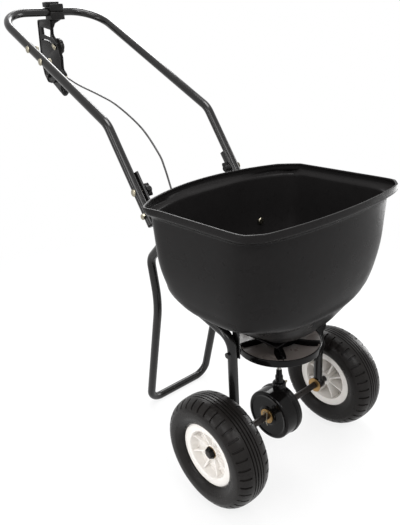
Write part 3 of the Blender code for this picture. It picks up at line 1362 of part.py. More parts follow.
HOPPER_PLASTIC = material("hopper_plastic", (44, 43, 43), 0.5)
BLACK_PLASTIC = material("black_plastic", (40, 39, 39), 0.42)
GLOSS_BLACK = material("gloss_black", (34, 33, 33), 0.2)
BLACK_PAINT = material("black_paint", (38, 36, 36), 0.3)
RUBBER = material("tyre_rubber", (46, 45, 44), 0.75)
WHITE_PLASTIC = material("white_plastic", (225, 221, 216), 0.4)
ZINC = material("zinc", (200, 196, 184), 0.35, 1.0)
BRASS = material("brass", (196, 168, 118), 0.35, 1.0)
STEEL = material("steel", (150, 148, 146), 0.35, 1.0)
AXLE_STEEL = material("axle_steel", (60, 56, 54), 0.4, 1.0)
CABLE_BLACK = material("cable_black", (32, 31, 31), 0.45)

SPREADER = empty("spreader_origin", (0, CENTRE_SHIFT, 0))
HANDLE_BODY = empty("fold_axis", FOLD, SPREADER)
AXLE_BODY = empty("axle_axis", (0, 0, AXLE_Z), SPREADER)
FREE_WHEEL_BODY = empty("free_wheel_axis", (WHEEL_X, 0, AXLE_Z), SPREADER)
IMPELLER_BODY = empty("impeller_axis", (0, 0, IMPELLER_TOP_Z), SPREADER)
GATE_BODY = empty("gate_origin", (0, 0, GATE_TOP), SPREADER)
LEVER_BODY = empty("lever_axis", PIVOT, SPREADER)
STOP_BODY = empty("stop_axis", PIVOT + Vector((-0.001, 0, 0)), SPREADER)
STOP_KNOB_BODY = empty(
    "stop_knob_axis",
    PIVOT + Vector((0, SLOT_RADIUS * cos(STOP_ANGLE), SLOT_RADIUS * sin(STOP_ANGLE))), SPREADER,
)
KNOB_BODIES = {
    "right": empty("wing_knob_axis_right", Vector((-JOINT_X, WING_BOLT.y, WING_BOLT.z)), SPREADER),
    "left": empty("wing_knob_axis_left", Vector((JOINT_X, WING_BOLT.y, WING_BOLT.z)), SPREADER),
}

wheel(-1, "drive", AXLE_BODY)
wheel(1, "free", FREE_WHEEL_BODY)
axle_parts()
frame_tubes()
stand()
handle_parts()
fold_joint_parts()
hopper_parts()
hopper_bolts()
gate_parts()
cable_bracket()
side_deflector()
hopper_brackets()
impeller_parts()
crown_gear()
gearbox_parts()
control_parts()
lever_parts()
stop_parts()
cable_parts()
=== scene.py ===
"""The spreader dressed for its photograph: finer shapes, surfaces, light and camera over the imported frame.

Metres, +Z up, front at -Y. Shapes are made in the axle frame, with Y = 0 on the wheel axle and Z = 0 on
the ground, and dress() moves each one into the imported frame.
"""

import json
from math import asin, atan2, copysign, cos, exp, hypot, pi, radians, sin, tan

import bmesh
import bpy
from mathutils import Matrix, Vector


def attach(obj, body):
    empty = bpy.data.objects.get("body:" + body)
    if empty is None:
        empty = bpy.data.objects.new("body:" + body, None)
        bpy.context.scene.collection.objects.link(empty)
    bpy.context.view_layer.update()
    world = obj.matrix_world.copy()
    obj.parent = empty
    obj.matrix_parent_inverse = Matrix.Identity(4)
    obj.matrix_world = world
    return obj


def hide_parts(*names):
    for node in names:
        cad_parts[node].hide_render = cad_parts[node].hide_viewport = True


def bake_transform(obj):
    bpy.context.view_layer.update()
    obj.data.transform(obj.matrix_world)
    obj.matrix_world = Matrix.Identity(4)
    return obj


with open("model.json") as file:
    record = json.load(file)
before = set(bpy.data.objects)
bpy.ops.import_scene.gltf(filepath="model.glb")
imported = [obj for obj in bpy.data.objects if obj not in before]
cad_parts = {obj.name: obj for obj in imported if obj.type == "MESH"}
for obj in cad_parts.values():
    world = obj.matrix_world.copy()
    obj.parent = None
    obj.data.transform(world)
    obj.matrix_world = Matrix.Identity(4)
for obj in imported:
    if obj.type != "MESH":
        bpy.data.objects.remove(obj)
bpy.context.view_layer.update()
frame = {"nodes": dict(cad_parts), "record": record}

# Fits and fineness
GAP = 0.0003
RUNNING_GAP = 0.0004
WELD = 0.000001
SHARP = 38
FINE = 40
SIDES = ((-1, "right"), (1, "left"))
ORIGIN = (0, 0, 0)

# Wheels
WHEEL_RADIUS = 0.133
WHEEL_X = 0.211
TYRE_WIDTH = 0.0908
TYRE_WIDEST_RADIUS = 0.104
TYRE_ROUNDNESS = 2.4
RIM_RADIUS = 0.0753
RIM_WIDTH = 0.0634
RIM_FLANGE = 0.0022
BEAD_DEPTH = 0.0066
BARREL_WALL = 0.0105
WEB_OFFSET = 0.006
WEB_THICKNESS = 0.004
HUB_RADIUS = 0.0165
HUB_OUTER = 0.017
RIB_COUNT = 8
RIB_THICKNESS = 0.004
TYRE_GROOVES = ((0.0042, 0.0024, 0.0030), (0.0118, 0.0022, 0.0028))
CROWN_OFFSETS = (0.0165, 0.0205, 0.0222, 0.0250, 0.0300, 0.0325, 0.0350, 0.0375, 0.0398, 0.0418,
                 0.0434)
LUG_COUNT = 36
LUG_STATIONS = (0.0, 0.2, 0.38, 0.430, 0.5, 0.570, 0.62, 0.8)
LUG_START = 0.0215
LUG_RADIUS = 0.1165
LUG_DEPTH = 0.0032

# Axle
AXLE_RADIUS = 0.008
AXLE_OVERHANG = 0.012
NUT_ACROSS = 0.026
NUT_THICKNESS = 0.010
HAIRPIN_X = -0.0575
HAIRPIN_WIRE = 0.0011
STAR_POINTS = 18
STAR_REACH = (0.0149, 0.0118, 0.0143)
CAP_LOBES = 6
CAP_LOBE = ((0.0, 0.0132), (0.28, 0.0132), (0.36, 0.0108), (0.64, 0.0108), (0.72, 0.0132))

# Frame tubes
TUBE_RADIUS = 0.0111
TUBE_WALL = 0.0016
POST_X = 0.152
POST_TOP_Z = 0.392
REAR_BEND_X = 0.1495
REAR_BEND_Y = 0.205
REAR_BEND_Z = 0.452
POST_BEND_RADIUS = 0.040
REAR_BEND_RADIUS = 0.060
FOLD_Y = 0.2595
FOLD_Z = 0.620
LOWER_ARM_ANGLE = radians(56.5)
FRAME_BEYOND_FOLD = 0.106
FLATTENED_SHARE = 0.45
FLATTEN_FROM_Z = 0.588
FLATTEN_TO_Z = 0.602
FRAME_BEFORE_FOLD = 0.024
SLEEVE_RADIUS = 0.0145
SLEEVE_HALF = 0.0118
WELD_BEAD = (
    (TUBE_RADIUS - 0.0005, 0.0015), (TUBE_RADIUS + 0.0006, 0.0008), (TUBE_RADIUS + 0.0014, -0.0012),
    (TUBE_RADIUS + 0.0010, -0.0030), (TUBE_RADIUS - 0.0005, -0.0030),
)

# Handle
ARM_X = 0.1584
ARM_BEND_Y = 0.390
ARM_BEND_RADIUS = 0.060
CROSSBAR_Y = 0.8972
CROSSBAR_Z = 1.0788
HANDLE_CORNER_RADIUS = 0.092
ARM_TAIL = 0.024
WING_BOLT_SPACING = 0.060
ARM_BOLT_ALONG = (0.204, 0.271)

# Stand
STAND_FOOT_Y = 0.4045
STAND_HALF_WIDTH = 0.1055
STAND_KNEE_Y = 0.3115
STAND_KNEE_Z = 0.360
STAND_TOP_Y = 0.325
STAND_TOP_Z = 0.482
STAND_JOINT_Z = 0.567
STAND_TAIL = 0.014
STAND_FOOT_RADIUS = 0.040
STAND_TOP_RADIUS = 0.038

# Hopper and gate
RIM_Z = 0.6822
FLOOR_Z = 0.3535
HOPPER_WALL = 0.003
HOPPER_HALF_WIDTH = 0.230
HOPPER_FRONT = 0.164
HOPPER_REAR = 0.209
COLLAR_OUT = 0.010
COLLAR_REACH = 0.012
MOUTH_REAR = 0.2305
MOUTH_BOW = 0.29
MOUTH_SQUARENESS = 22
COLLAR_HEIGHT = 0.013
COLLAR_FLARE = 0.014
CHAMFER_ANGLE = radians(63.6)
CHAMFER_CUT = 0.13
FRONT_SOFTNESS = 0.4
FLOOR_HALF = 0.051
FRONT_BOW = 0.15
REAR_BOW = 0.04
OUTLET_INNER_X = 0.011
OUTLET_WIDTH = 0.018
OUTLET_LENGTH = 0.028
GATE_THICKNESS = 0.002
HOPPER_BOLT_Z = 0.545
HOPPER_BUSHING_RADIUS = 0.0085
BUSHING_RISE = 0.0035
HOPPER_STEPS = 240
BOWL_STEPS = 58
FLOOR_SHARES = (0.8, 0.45, 0.28)
FINE_CROWDING = 0.62
MOUTH_EDGE = 0.0014
MOUTH_BEAD = 0.0016
CORNER_FADE = 0.034
CORNER_PULL = 0.012
CORNER_SPREAD = 0.030
PULLED_CORNER = Vector((-0.2380, 0.1500))
PULL_WAY = Vector((-0.75, 0.66))

# Impeller and its shaft
SHAFT_RADIUS = 0.005
SHAFT_BOTTOM_Z = 0.158
SHAFT_TOP_Z = FLOOR_Z + 0.0225
IMPELLER_RADIUS = 0.100
IMPELLER_TOP_Z = 0.328
IMPELLER_BAND = 0.016
IMPELLER_WALL = 0.0026
CONE_RADIUS = 0.040
CONE_HEIGHT = 0.012
IMPELLER_HUB_RADIUS = 0.016
FIN_COUNT = 5
FIRST_FIN = 221.5
FIN_HEIGHT = 0.0095
FIN_THICKNESS = 0.0028
FIN_INNER = 0.044
FIN_OUTER = 0.096
LEAF_INNER = 0.030
LEAF_OUTER = 0.094
LEAF_HALF_WIDTH = 0.009
LEAF_STEPS = 12
AGITATOR_WIRE = 0.0028
AGITATOR_HEIGHT = 0.055

# Gearbox
CASING_RADIUS = 0.0622
CASING_RIGHT = 0.043
CASING_LEFT = 0.017
CASING_WALL = 0.004
SEAM_RADIUS = 0.0645
SEAM_WIDTH = 0.008
NECK_RADIUS = 0.0165
NECK_TOP_Z = 0.212
BOOT_RADIUS = 0.0095
BOOT_TOP_Z = 0.246
BUSHING_RADIUS = 0.0115
BUSHING_FLANGE_RADIUS = 0.0185
BUSHING_FLANGE = 0.003
FITTING_Z = 0.199

# Gears
GEAR_MODULE = 0.0025
CROWN_TEETH = 32

# Deflector and hopper brackets
PLATE_THICKNESS = 0.0025
BRACKET_THICKNESS = 0.003
POST_BOLT_Z = 0.356

# Bolts
BOLT_RADIUS = 0.004
HEAD_ACROSS = 0.013
HEAD_HEIGHT = 0.0053
HEAD_STANDOFF = 0.004
CHAMFER_STANDOFF = 0.006
SLANT_GAP = 0.0014
BOLT_NUT = 0.0065
CARRIAGE_HEAD = 0.0088
DOME_RISE = 0.0034
THREAD_PITCH = 0.0005
WING_SPAN = 0.033
WING_HUB_RADIUS = 0.0105
WING_HUB_LENGTH = 0.016

# Flow control on the crossbar
CONTROL_THICKNESS = 0.010
CLAMP_WIDTH = 0.045
CLAMP_INSET = 0.0005
CLAMP_HALF_HEIGHT = 0.022
CLAMP_HALF_DEPTH = 0.0185
RIDGE_WIDTH = 0.043
RIDGE_HEIGHT = 0.0055
PIVOT_Y = 0.950
PIVOT_Z = 0.897
CONTROL_REAR_Y = 0.981
WINDOW = ((0.951, 1.0400), (0.8985, 1.0300), (0.9050, 1.0095), (0.951, 1.0205))
SLOT_SEEN = 0.0030
SLOT_RADIUS = 0.107
SLOT_START = radians(86)
STOP_ANGLE = radians(126.7)
LEVER_THICKNESS = 0.004
LEVER_HUB_RADIUS = 0.016
LEVER_END_RADIUS = 0.0215
LEVER_END_Y = 0.882
LEVER_END_Z = 0.860
LEVER_ARM_LENGTH = 0.043
LEVER_ARM_ANGLE = radians(80)
STOP_KNOB_RADIUS = 0.0235
STOP_KNOB_LENGTH = 0.017
STOP_WASHER = 0.002
STUD_RADIUS = 0.0024
KNOB_LOBES = 8
KNOB_SCALLOP = 0.085
# Share of the knob's radius, height on it, and whether it follows the lobes
KNOB_PROFILE = (
    (0.0, STOP_KNOB_LENGTH - 0.0012, False), (0.42, STOP_KNOB_LENGTH - 0.0012, False),
    (0.46, STOP_KNOB_LENGTH, False), (0.56, STOP_KNOB_LENGTH, False),
    (0.60, STOP_KNOB_LENGTH - 0.0008, False), (0.64, STOP_KNOB_LENGTH - 0.0030, False),
    (0.86, STOP_KNOB_LENGTH - 0.0042, True), (0.95, STOP_KNOB_LENGTH - 0.0052, True),
    (1.0, STOP_KNOB_LENGTH - 0.0076, True), (1.0, 0.0030, True), (0.97, 0.0010, True), (0.90, 0.0, True),
    (0.30, 0.0, False),
)

# Cable
CABLE_RADIUS = 0.0025
FERRULE_RADIUS = 0.0042
FERRULE_LENGTH = 0.014
CABLE_TAB_Y = 0.112
CABLE_TOP = Vector((0.005, 0.852, 0.8965))
CABLE_TOP_HEADING = Vector((0, -0.966, -0.259))
CABLE_ROUTE = [Vector(place) for place in (
    (0.004, 0.7700, 0.8738), (0.000, 0.6616, 0.8519), (-0.006, 0.5720, 0.8304),
    (-0.014, 0.4580, 0.7824), (-0.024, 0.3787, 0.7264), (-0.029, 0.3520, 0.6950),
    (-0.034, 0.3295, 0.6578), (-0.039, 0.3030, 0.6050), (-0.041, 0.2800, 0.5450),
    (-0.038, 0.2600, 0.4750), (-0.028, 0.2360, 0.4120), (-0.012, 0.1950, 0.3720),
)]

# Camera
SENSOR = 36
FOCAL_PIXELS = 589.647
PHOTO_HEIGHT = 525
CAMERA_PLACE = Vector((-0.91740826, -0.81235535, 1.02799006))
CAMERA_RIGHT = Vector((0.74727163, -0.66228029, -0.05449707))
CAMERA_UP = Vector((0.28841997, 0.24936196, 0.92446338))
CAMERA_FORWARD = Vector((0.59866438, 0.7065433, -0.37735598))

# Derived places
AXLE_Z = WHEEL_RADIUS
JOINT_X = ARM_X - 2 * TUBE_RADIUS - GAP
LOWER_ARM = Vector((0, cos(LOWER_ARM_ANGLE), sin(LOWER_ARM_ANGLE)))
FOLD = Vector((0, FOLD_Y, FOLD_Z))
WING_BOLT = FOLD + LOWER_ARM * WING_BOLT_SPACING
ARM_BEND = FOLD + LOWER_ARM * ((ARM_BEND_Y - FOLD_Y) / LOWER_ARM.y)
CROSSBAR = Vector((0, CROSSBAR_Y, CROSSBAR_Z))
PIVOT = Vector((0, PIVOT_Y, PIVOT_Z))
POST_INSIDE = POST_X - TUBE_RADIUS - GAP
FLOOR_UNDER = FLOOR_Z - HOPPER_WALL
GATE_TOP = FLOOR_UNDER - GAP
GATE_BOTTOM = GATE_TOP - GATE_THICKNESS
CABLE_LOW_Z = GATE_BOTTOM + 0.010
CABLE_TAB_MIDDLE = CABLE_TAB_Y + BRACKET_THICKNESS / 2
CROWN_RADIUS = GEAR_MODULE * CROWN_TEETH / 2
PINION_Z = AXLE_Z + CROWN_RADIUS
FRONT_Y = -(HOPPER_FRONT + COLLAR_REACH + HOPPER_WALL)
CENTRE_SHIFT = -(FRONT_Y + CONTROL_REAR_Y) / 2


def add(name, data):
    obj = bpy.data.objects.new(name, data)
    PARTS.objects.link(obj)
    return obj


def settle(obj, outward=False):
    """Replace the object by one plain welded mesh, smooth up to its sharp edges."""
    graph = bpy.context.evaluated_depsgraph_get()
    mesh = bpy.data.meshes.new_from_object(obj.evaluated_get(graph))
    work = bmesh.new()
    work.from_mesh(mesh)
    bmesh.ops.remove_doubles(work, verts=work.verts, dist=WELD)
    bmesh.ops.dissolve_degenerate(work, edges=work.edges, dist=WELD)
    if outward:
        bmesh.ops.recalc_face_normals(work, faces=work.faces)
    work.to_mesh(mesh)
    work.free()
    mesh.shade_smooth()
    mesh.set_sharp_from_angle(angle=radians(SHARP))
    made = add(obj.name, mesh)
    made.matrix_world = obj.matrix_world
    bpy.data.objects.remove(obj)
    return made


def boolean(base, operation, others):
    for other in others:
        change = base.modifiers.new(operation.lower(), "BOOLEAN")
        change.operation = operation
        change.solver = "EXACT"
        change.object = other
    made = settle(base)
    for other in others:
        bpy.data.objects.remove(other)
    return made


def cut(base, *cutters):
    return boolean(base, "DIFFERENCE", cutters)


def built(work, name, angle=0):
    """The object of a built-up mesh, smooth up to its sharp edges where an angle is given."""
    mesh = bpy.data.meshes.new(name)
    work.to_mesh(mesh)
    work.free()
    if angle:
        mesh.shade_smooth()
        mesh.set_sharp_from_angle(angle=radians(angle))
    return add(name, mesh)


def block(low, high):
    low, high = Vector(low), Vector(high)
    work = bmesh.new()
    bmesh.ops.create_cube(work, size=1)
    size = Matrix.Diagonal((*(high - low), 1))
    bmesh.ops.transform(work, matrix=Matrix.Translation((low + high) / 2) @ size, verts=work.verts)
    return built(work, "block")


def rod(start, end, radius, sides, end_radius=None):
    """A cylinder, or a cone or prism, between two points."""
    start, end = Vector(start), Vector(end)
    along = end - start
    aim = along.to_track_quat("Z", "Y").to_matrix().to_4x4()
    work = bmesh.new()
    bmesh.ops.create_cone(
        work, cap_ends=True, segments=sides, depth=along.length,
        radius1=radius, radius2=radius if end_radius is None else end_radius,
    )
    bmesh.ops.transform(work, matrix=Matrix.Translation((start + end) / 2) @ aim, verts=work.verts)
    return built(work, "rod", SHARP)


AIM = {
    "X": Matrix(((0, 0, 1), (0, 1, 0), (-1, 0, 0))).to_4x4(),
    "-X": Matrix(((0, 0, -1), (0, 1, 0), (1, 0, 0))).to_4x4(),
    "Z": Matrix.Identity(4),
}


def turned(profile, centre, axis, steps, ring=False):
    """Turn (radius, height) points, listed from the top down the outer side, about an axis."""
    mesh = bpy.data.meshes.new("turned")
    edges = [(i, i + 1) for i in range(len(profile) - 1)]
    if ring:
        edges.append((len(profile) - 1, 0))
    mesh.from_pydata([(radius, 0, height) for radius, height in profile], edges, [])
    obj = add("turned", mesh)
    obj.matrix_world = Matrix.Translation(centre) @ AIM[axis]
    screw = obj.modifiers.new("turn", "SCREW")
    screw.steps = screw.render_steps = steps
    screw.use_merge_vertices = True
    screw.merge_threshold = 0.00001
    return settle(obj, outward=True)


PLANES = {
    "YZ": Matrix(((0, 0, 1), (1, 0, 0), (0, 1, 0))).to_4x4(),
    "XZ": Matrix(((1, 0, 0), (0, 0, -1), (0, 1, 0))).to_4x4(),
    "XY": Matrix.Identity(4),
}


def plate(plane, outline, low, high, holes=()):
    """A flat outline in the named plane, made solid between two heights on the third axis."""
    curve = bpy.data.curves.new("plate", "CURVE")
    curve.dimensions = "2D"
    curve.fill_mode = "BOTH"
    curve.extrude = (high - low) / 2
    for loop in (outline, *holes):
        spline = curve.splines.new("POLY")
        spline.points.add(len(loop) - 1)
        for point, place in zip(spline.points, loop):
            point.co = (place[0], place[1], 0, 1)
        spline.use_cyclic_u = True
    obj = add("plate", curve)
    middle = (low + high) / 2
    lift = -middle if plane == "XZ" else middle
    obj.matrix_world = PLANES[plane] @ Matrix.Translation((0, 0, lift))
    return settle(obj, outward=True)


def pipe(points, radius, sides, wall=None):
    """A round bar along the points, or a tube where it has a wall."""
    curve = bpy.data.curves.new("pipe", "CURVE")
    curve.dimensions = "3D"
    curve.bevel_depth = radius
    curve.bevel_resolution = (sides - 4) // 2
    curve.use_fill_caps = wall is None
    spline = curve.splines.new("POLY")
    spline.points.add(len(points) - 1)
    for point, place in zip(spline.points, points):
        point.co = (*place, 1)
    obj = add("pipe", curve)
    if wall:
        shell = obj.modifiers.new("wall", "SOLIDIFY")
        shell.thickness = wall
        shell.offset = -1
    return settle(obj, outward=True)


def rounded(points, radii, step=radians(3)):
    """A line through the points with its inner corners rounded to the given radii."""
    points = [Vector(point) for point in points]
    path = [points[0]]
    for before, corner, after, radius in zip(points, points[1:], points[2:], radii):
        if not radius:
            path.append(corner)
            continue
        back = (before - corner).normalized()
        ahead = (after - corner).normalized()
        half = back.angle(ahead) / 2
        middle = corner + (back + ahead).normalized() * (radius / sin(half))
        turn = pi - 2 * half
        count = max(2, round(turn / step))
        first = corner + back * (radius / tan(half)) - middle
        side = -back * radius
        for i in range(count + 1):
            angle = turn * i / count
            path.append(middle + first * cos(angle) + side * sin(angle))
    path.append(points[-1])
    return path


def arc(centre, radius, start, end, count):
    return [
        (centre[0] + radius * cos(start + (end - start) * i / count),
         centre[1] + radius * sin(start + (end - start) * i / count))
        for i in range(count + 1)
    ]


def circle(centre, radius, count):
    return arc(centre, radius, 0, 2 * pi, count)[:-1]


def band(centre, radius, width, start, end, count):
    """An arc-shaped slot with round ends, as one closed outline."""
    half = width / 2
    outer = arc(centre, radius + half, start, end, count)
    inner = arc(centre, radius - half, end, start, count)
    tip = (centre[0] + radius * cos(end), centre[1] + radius * sin(end))
    tail = (centre[0] + radius * cos(start), centre[1] + radius * sin(start))
    head_cap = arc(tip, half, end, end + pi, 4)[1:-1]
    tail_cap = arc(tail, half, start + pi, start + 2 * pi, 4)[1:-1]
    return outer + head_cap + inner + tail_cap


def smooth_corners(outline, radius, count):
    """A closed outline with each corner rounded."""
    made = []
    for i, corner in enumerate(outline):
        corner = Vector(corner)
        before = Vector(outline[i - 1]) - corner
        after = Vector(outline[(i + 1) % len(outline)]) - corner
        back, ahead = before.normalized(), after.normalized()
        half = back.angle(ahead) / 2
        reach = min(radius / tan(half), 0.45 * min(before.length, after.length))
        start, end = corner + back * reach, corner + ahead * reach
        for k in range(count + 1):
            share = k / count
            made.append(tuple(
                start * (1 - share) ** 2 + corner * (2 * share * (1 - share)) + end * share ** 2
            ))
    return made


def hull_of_two(first, first_radius, second, second_radius, count):
    """The outline of a strap that runs from one round end to another."""
    dx, dy = second[0] - first[0], second[1] - first[1]
    heading = atan2(dy, dx)
    lean = asin((first_radius - second_radius) / hypot(dx, dy))
    near = arc(first, first_radius, heading + pi / 2 - lean, heading + 3 * pi / 2 + lean, count)
    far = arc(second, second_radius, heading - pi / 2 + lean, heading + pi / 2 - lean, count)
    return near + far


def hex_radius(across):
    return across / 2 / cos(pi / 6)


def rear_run(height):
    """The frame tube's centre at a height between its rear bend and its joint."""
    low = FOLD - LOWER_ARM * FRAME_BEFORE_FOLD
    share = (height - REAR_BEND_Z) / (low.z - REAR_BEND_Z)
    return Vector((REAR_BEND_X + (JOINT_X - REAR_BEND_X) * share,
                   REAR_BEND_Y + (low.y - REAR_BEND_Y) * share, height))


def flatten_joint_end(tube, side):
    """Press the tube's upper end against the plane of the arm, so that it is narrow from the front."""
    outer = side * (JOINT_X + TUBE_RADIUS)
    for vertex in tube.data.vertices:
        place = vertex.co
        share = min(1, max(0, (place.z - FLATTEN_FROM_Z) / (FLATTEN_TO_Z - FLATTEN_FROM_Z)))
        place.x = outer + (place.x - outer) * (1 - share * (1 - FLATTENED_SHARE))


def wing_notch(side):
    """The open curved notch by which the frame tube lets the wing bolt swing out."""
    turn = LOWER_ARM_ANGLE
    outline = band((FOLD.y, FOLD.z), WING_BOLT_SPACING, 2 * (BOLT_RADIUS + RUNNING_GAP),
                   turn - radians(24), turn, 6)
    return plate("YZ", outline, side * JOINT_X - 0.02, side * JOINT_X + 0.02)


def upper_arm(along):
    """A point on the arm, measured from the crossbar's height back down towards the bend."""
    heading = (ARM_BEND - CROSSBAR).normalized()
    return CROSSBAR + heading * along


def hopper_spread(x, y, half_width, front, rear, squareness, cut_off=CHAMFER_CUT):
    """Under one inside a level outline of the hopper, before its front and rear are bowed."""
    depth = rear if y > 0 else front
    power = squareness
    if y < 0 and squareness > 4:
        power = 4 + FRONT_SOFTNESS * (squareness - 4)
    spread = (abs(x) / half_width) ** power + (abs(y) / depth) ** power
    if y > 0 and squareness > 4:
        away = 1 - cut_off * min(1, (squareness - 4) / 2.5)
        limit = away * (half_width * cos(CHAMFER_ANGLE) + rear * sin(CHAMFER_ANGLE))
        spread += ((abs(x) * cos(CHAMFER_ANGLE) + y * sin(CHAMFER_ANGLE)) / limit) ** (3 * squareness)
    return spread


def bowed(x, y, half_width, rear_bow=REAR_BOW):
    return y * (1 - (rear_bow if y > 0 else FRONT_BOW) * (x / half_width) ** 2)


def last_inside(inside, low, high, times):
    """The last place between low and high that is still inside, by halving."""
    for _ in range(times):
        middle = (low + high) / 2
        if inside(middle):
            low = middle
        else:
            high = middle
    return low


HOPPER_LEVELS = (
    (RIM_Z - COLLAR_HEIGHT - COLLAR_FLARE, HOPPER_HALF_WIDTH, HOPPER_FRONT, HOPPER_REAR, 10.0),
    (0.614, 0.228, 0.162, 0.208, 9.5),
    (0.559, 0.2255, 0.159, 0.206, 9.0),
    (0.520, 0.2215, 0.155, 0.202, 7.5),
    (0.480, 0.2145, 0.149, 0.192, 5.4),
    (0.455, 0.206, 0.143, 0.158, 3.6),
    (0.440, 0.178, 0.136, 0.138, 3.0),
    (0.420, 0.149, 0.124, 0.122, 2.8),
    (0.400, 0.121, 0.109, 0.108, 3.0),
    (0.380, 0.090, 0.089, 0.088, 3.2),
)


def rear_wall_inside(x, height):
    """Y of the hopper's inner face at the rear, from the same levels as its rings."""
    for upper, lower in zip(HOPPER_LEVELS, HOPPER_LEVELS[1:]):
        if lower[0] <= height <= upper[0]:
            mix = (height - lower[0]) / (upper[0] - lower[0])
            level = [lower[k] + (upper[k] - lower[k]) * mix for k in (1, 2, 3, 4)]
            inner = last_inside(lambda y: hopper_spread(x, y, *level) < 1, 0.0, level[2], 30)
            return bowed(x, inner, level[0])
    return HOPPER_REAR


def slope_at(half_width):
    """Height of the hopper's inner face, at a half width on the line across the axle."""
    for upper, lower in zip(HOPPER_LEVELS, HOPPER_LEVELS[1:]):
        if lower[1] <= half_width <= upper[1]:
            mix = (half_width - lower[1]) / (upper[1] - lower[1])
            return lower[0] + (upper[0] - lower[0]) * mix
    return FLOOR_Z


def spun(outline, turn):
    """A flat outline turned about the shaft."""
    return [(x * cos(turn) - y * sin(turn), x * sin(turn) + y * cos(turn)) for x, y in outline]


def fin_outline():
    """A fin that sweeps back a little as it goes out."""
    points = []
    for i in range(7):
        radius = FIN_INNER + (FIN_OUTER - FIN_INNER) * i / 6
        points.append((radius, 0.010 * (i / 6) ** 2))
    near = [(x, y - FIN_THICKNESS / 2) for x, y in points]
    far = [(x, y + FIN_THICKNESS / 2) for x, y in reversed(points)]
    return near + far


def smooth_route(points, step):
    """Evenly spaced points on a smooth curve through the route's own points."""
    fine = []
    padded = [points[0] * 2 - points[1], *points, points[-1] * 2 - points[-2]]
    for a, b, c, d in zip(padded, padded[1:], padded[2:], padded[3:]):
        for i in range(24):
            t = i / 24
            fine.append(0.5 * (2 * b + (c - a) * t + (2 * a - 5 * b + 4 * c - d) * t ** 2
                               + (3 * b - a - 3 * c + d) * t ** 3))
    fine.append(points[-1])
    length = sum((q - p).length for p, q in zip(fine, fine[1:]))
    count = round(length / step)
    made, travelled, k = [fine[0]], 0.0, 0
    for i in range(1, count):
        target = length * i / count
        while travelled + (fine[k + 1] - fine[k]).length < target:
            travelled += (fine[k + 1] - fine[k]).length
            k += 1
        share = (target - travelled) / (fine[k + 1] - fine[k]).length
        made.append(fine[k].lerp(fine[k + 1], share))
    made.append(fine[-1])
    return made


# Dressing a piece, and finer shapes

def dress(obj, look, body, *nodes, name=None, soft=0.0, level=2):
    """Place a finished shape over its nodes, bevel its sharp edges and hang it on its body."""
    if soft:
        obj = softened(obj, soft, level, 32)
    obj.data.transform(Matrix.Translation((0, CENTRE_SHIFT, 0)) @ obj.matrix_world)
    obj.matrix_world = Matrix.Identity(4)
    obj.name = name or nodes[0] + "_detailed"
    obj.data.name = obj.name
    obj.data.materials.clear()
    obj.data.materials.append(look)
    if nodes:
        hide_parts(*nodes)
    if isinstance(body, tuple):
        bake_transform(obj)
    else:
        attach(obj, body)
    return obj


def outward_axis(side):
    return "X" if side > 0 else "-X"


def aimed(obj, start, along):
    """The object carried to the start, with its Z axis turned along the direction."""
    turn = along.to_track_quat("Z", "Y").to_matrix().to_4x4()
    obj.matrix_world = Matrix.Translation(start) @ turn @ obj.matrix_world
    return obj


def softened(obj, width, segments=3, angle=45):
    """The object with its sharp edges rounded over."""
    bevel = obj.modifiers.new("soft", "BEVEL")
    bevel.width = width
    bevel.segments = segments
    bevel.limit_method = "ANGLE"
    bevel.angle_limit = radians(angle)
    return settle(obj)


def merged(*objs):
    """One object that holds several closed shapes which only touch or sink into each other."""
    first, *rest = objs
    work = bmesh.new()
    for obj in (first, *rest):
        mesh = obj.data.copy()
        mesh.transform(obj.matrix_world)
        work.from_mesh(mesh)
    for obj in rest:
        bpy.data.objects.remove(obj)
    work.to_mesh(first.data)
    work.free()
    first.matrix_world = Matrix.Identity(4)
    first.data.shade_smooth()
    first.data.set_sharp_from_angle(angle=radians(SHARP))
    return first


def finer(points, step):
    """The same line with points added so that none are further apart than the step."""
    made = [Vector(points[0])]
    for a, b in zip(points, points[1:]):
        a, b = Vector(a), Vector(b)
        count = max(1, round((b - a).length / step))
        made += [a.lerp(b, i / count) for i in range(1, count + 1)]
    return made


def grid(columns, closed_rows=True):
    """A closed skin over columns of points, where the last column joins the first."""
    work = bmesh.new()
    verts = [[work.verts.new(point) for point in column] for column in columns]
    for i, here in enumerate(verts):
        there = verts[(i + 1) % len(verts)]
        for k in range(len(here) if closed_rows else len(here) - 1):
            n = (k + 1) % len(here)
            work.faces.new((here[k], here[n], there[n], there[k]))
    bmesh.ops.remove_doubles(work, verts=work.verts, dist=WELD)
    bmesh.ops.recalc_face_normals(work, faces=work.faces)
    return built(work, "grid", SHARP + 2)


def eased(points, radius, count=4):
    """A (radius, height) profile with its corners rounded."""
    made = [points[0]]
    for before, corner, after in zip(points, points[1:], points[2:]):
        corner = Vector(corner)
        back, ahead = Vector(before) - corner, Vector(after) - corner
        reach = min(radius, 0.45 * back.length, 0.45 * ahead.length)
        start, end = corner + back.normalized() * reach, corner + ahead.normalized() * reach
        for k in range(count + 1):
            s = k / count
            made.append(tuple(start * (1 - s) ** 2 + corner * (2 * s * (1 - s)) + end * s ** 2))
    made.append(points[-1])
    return made


# Wheels

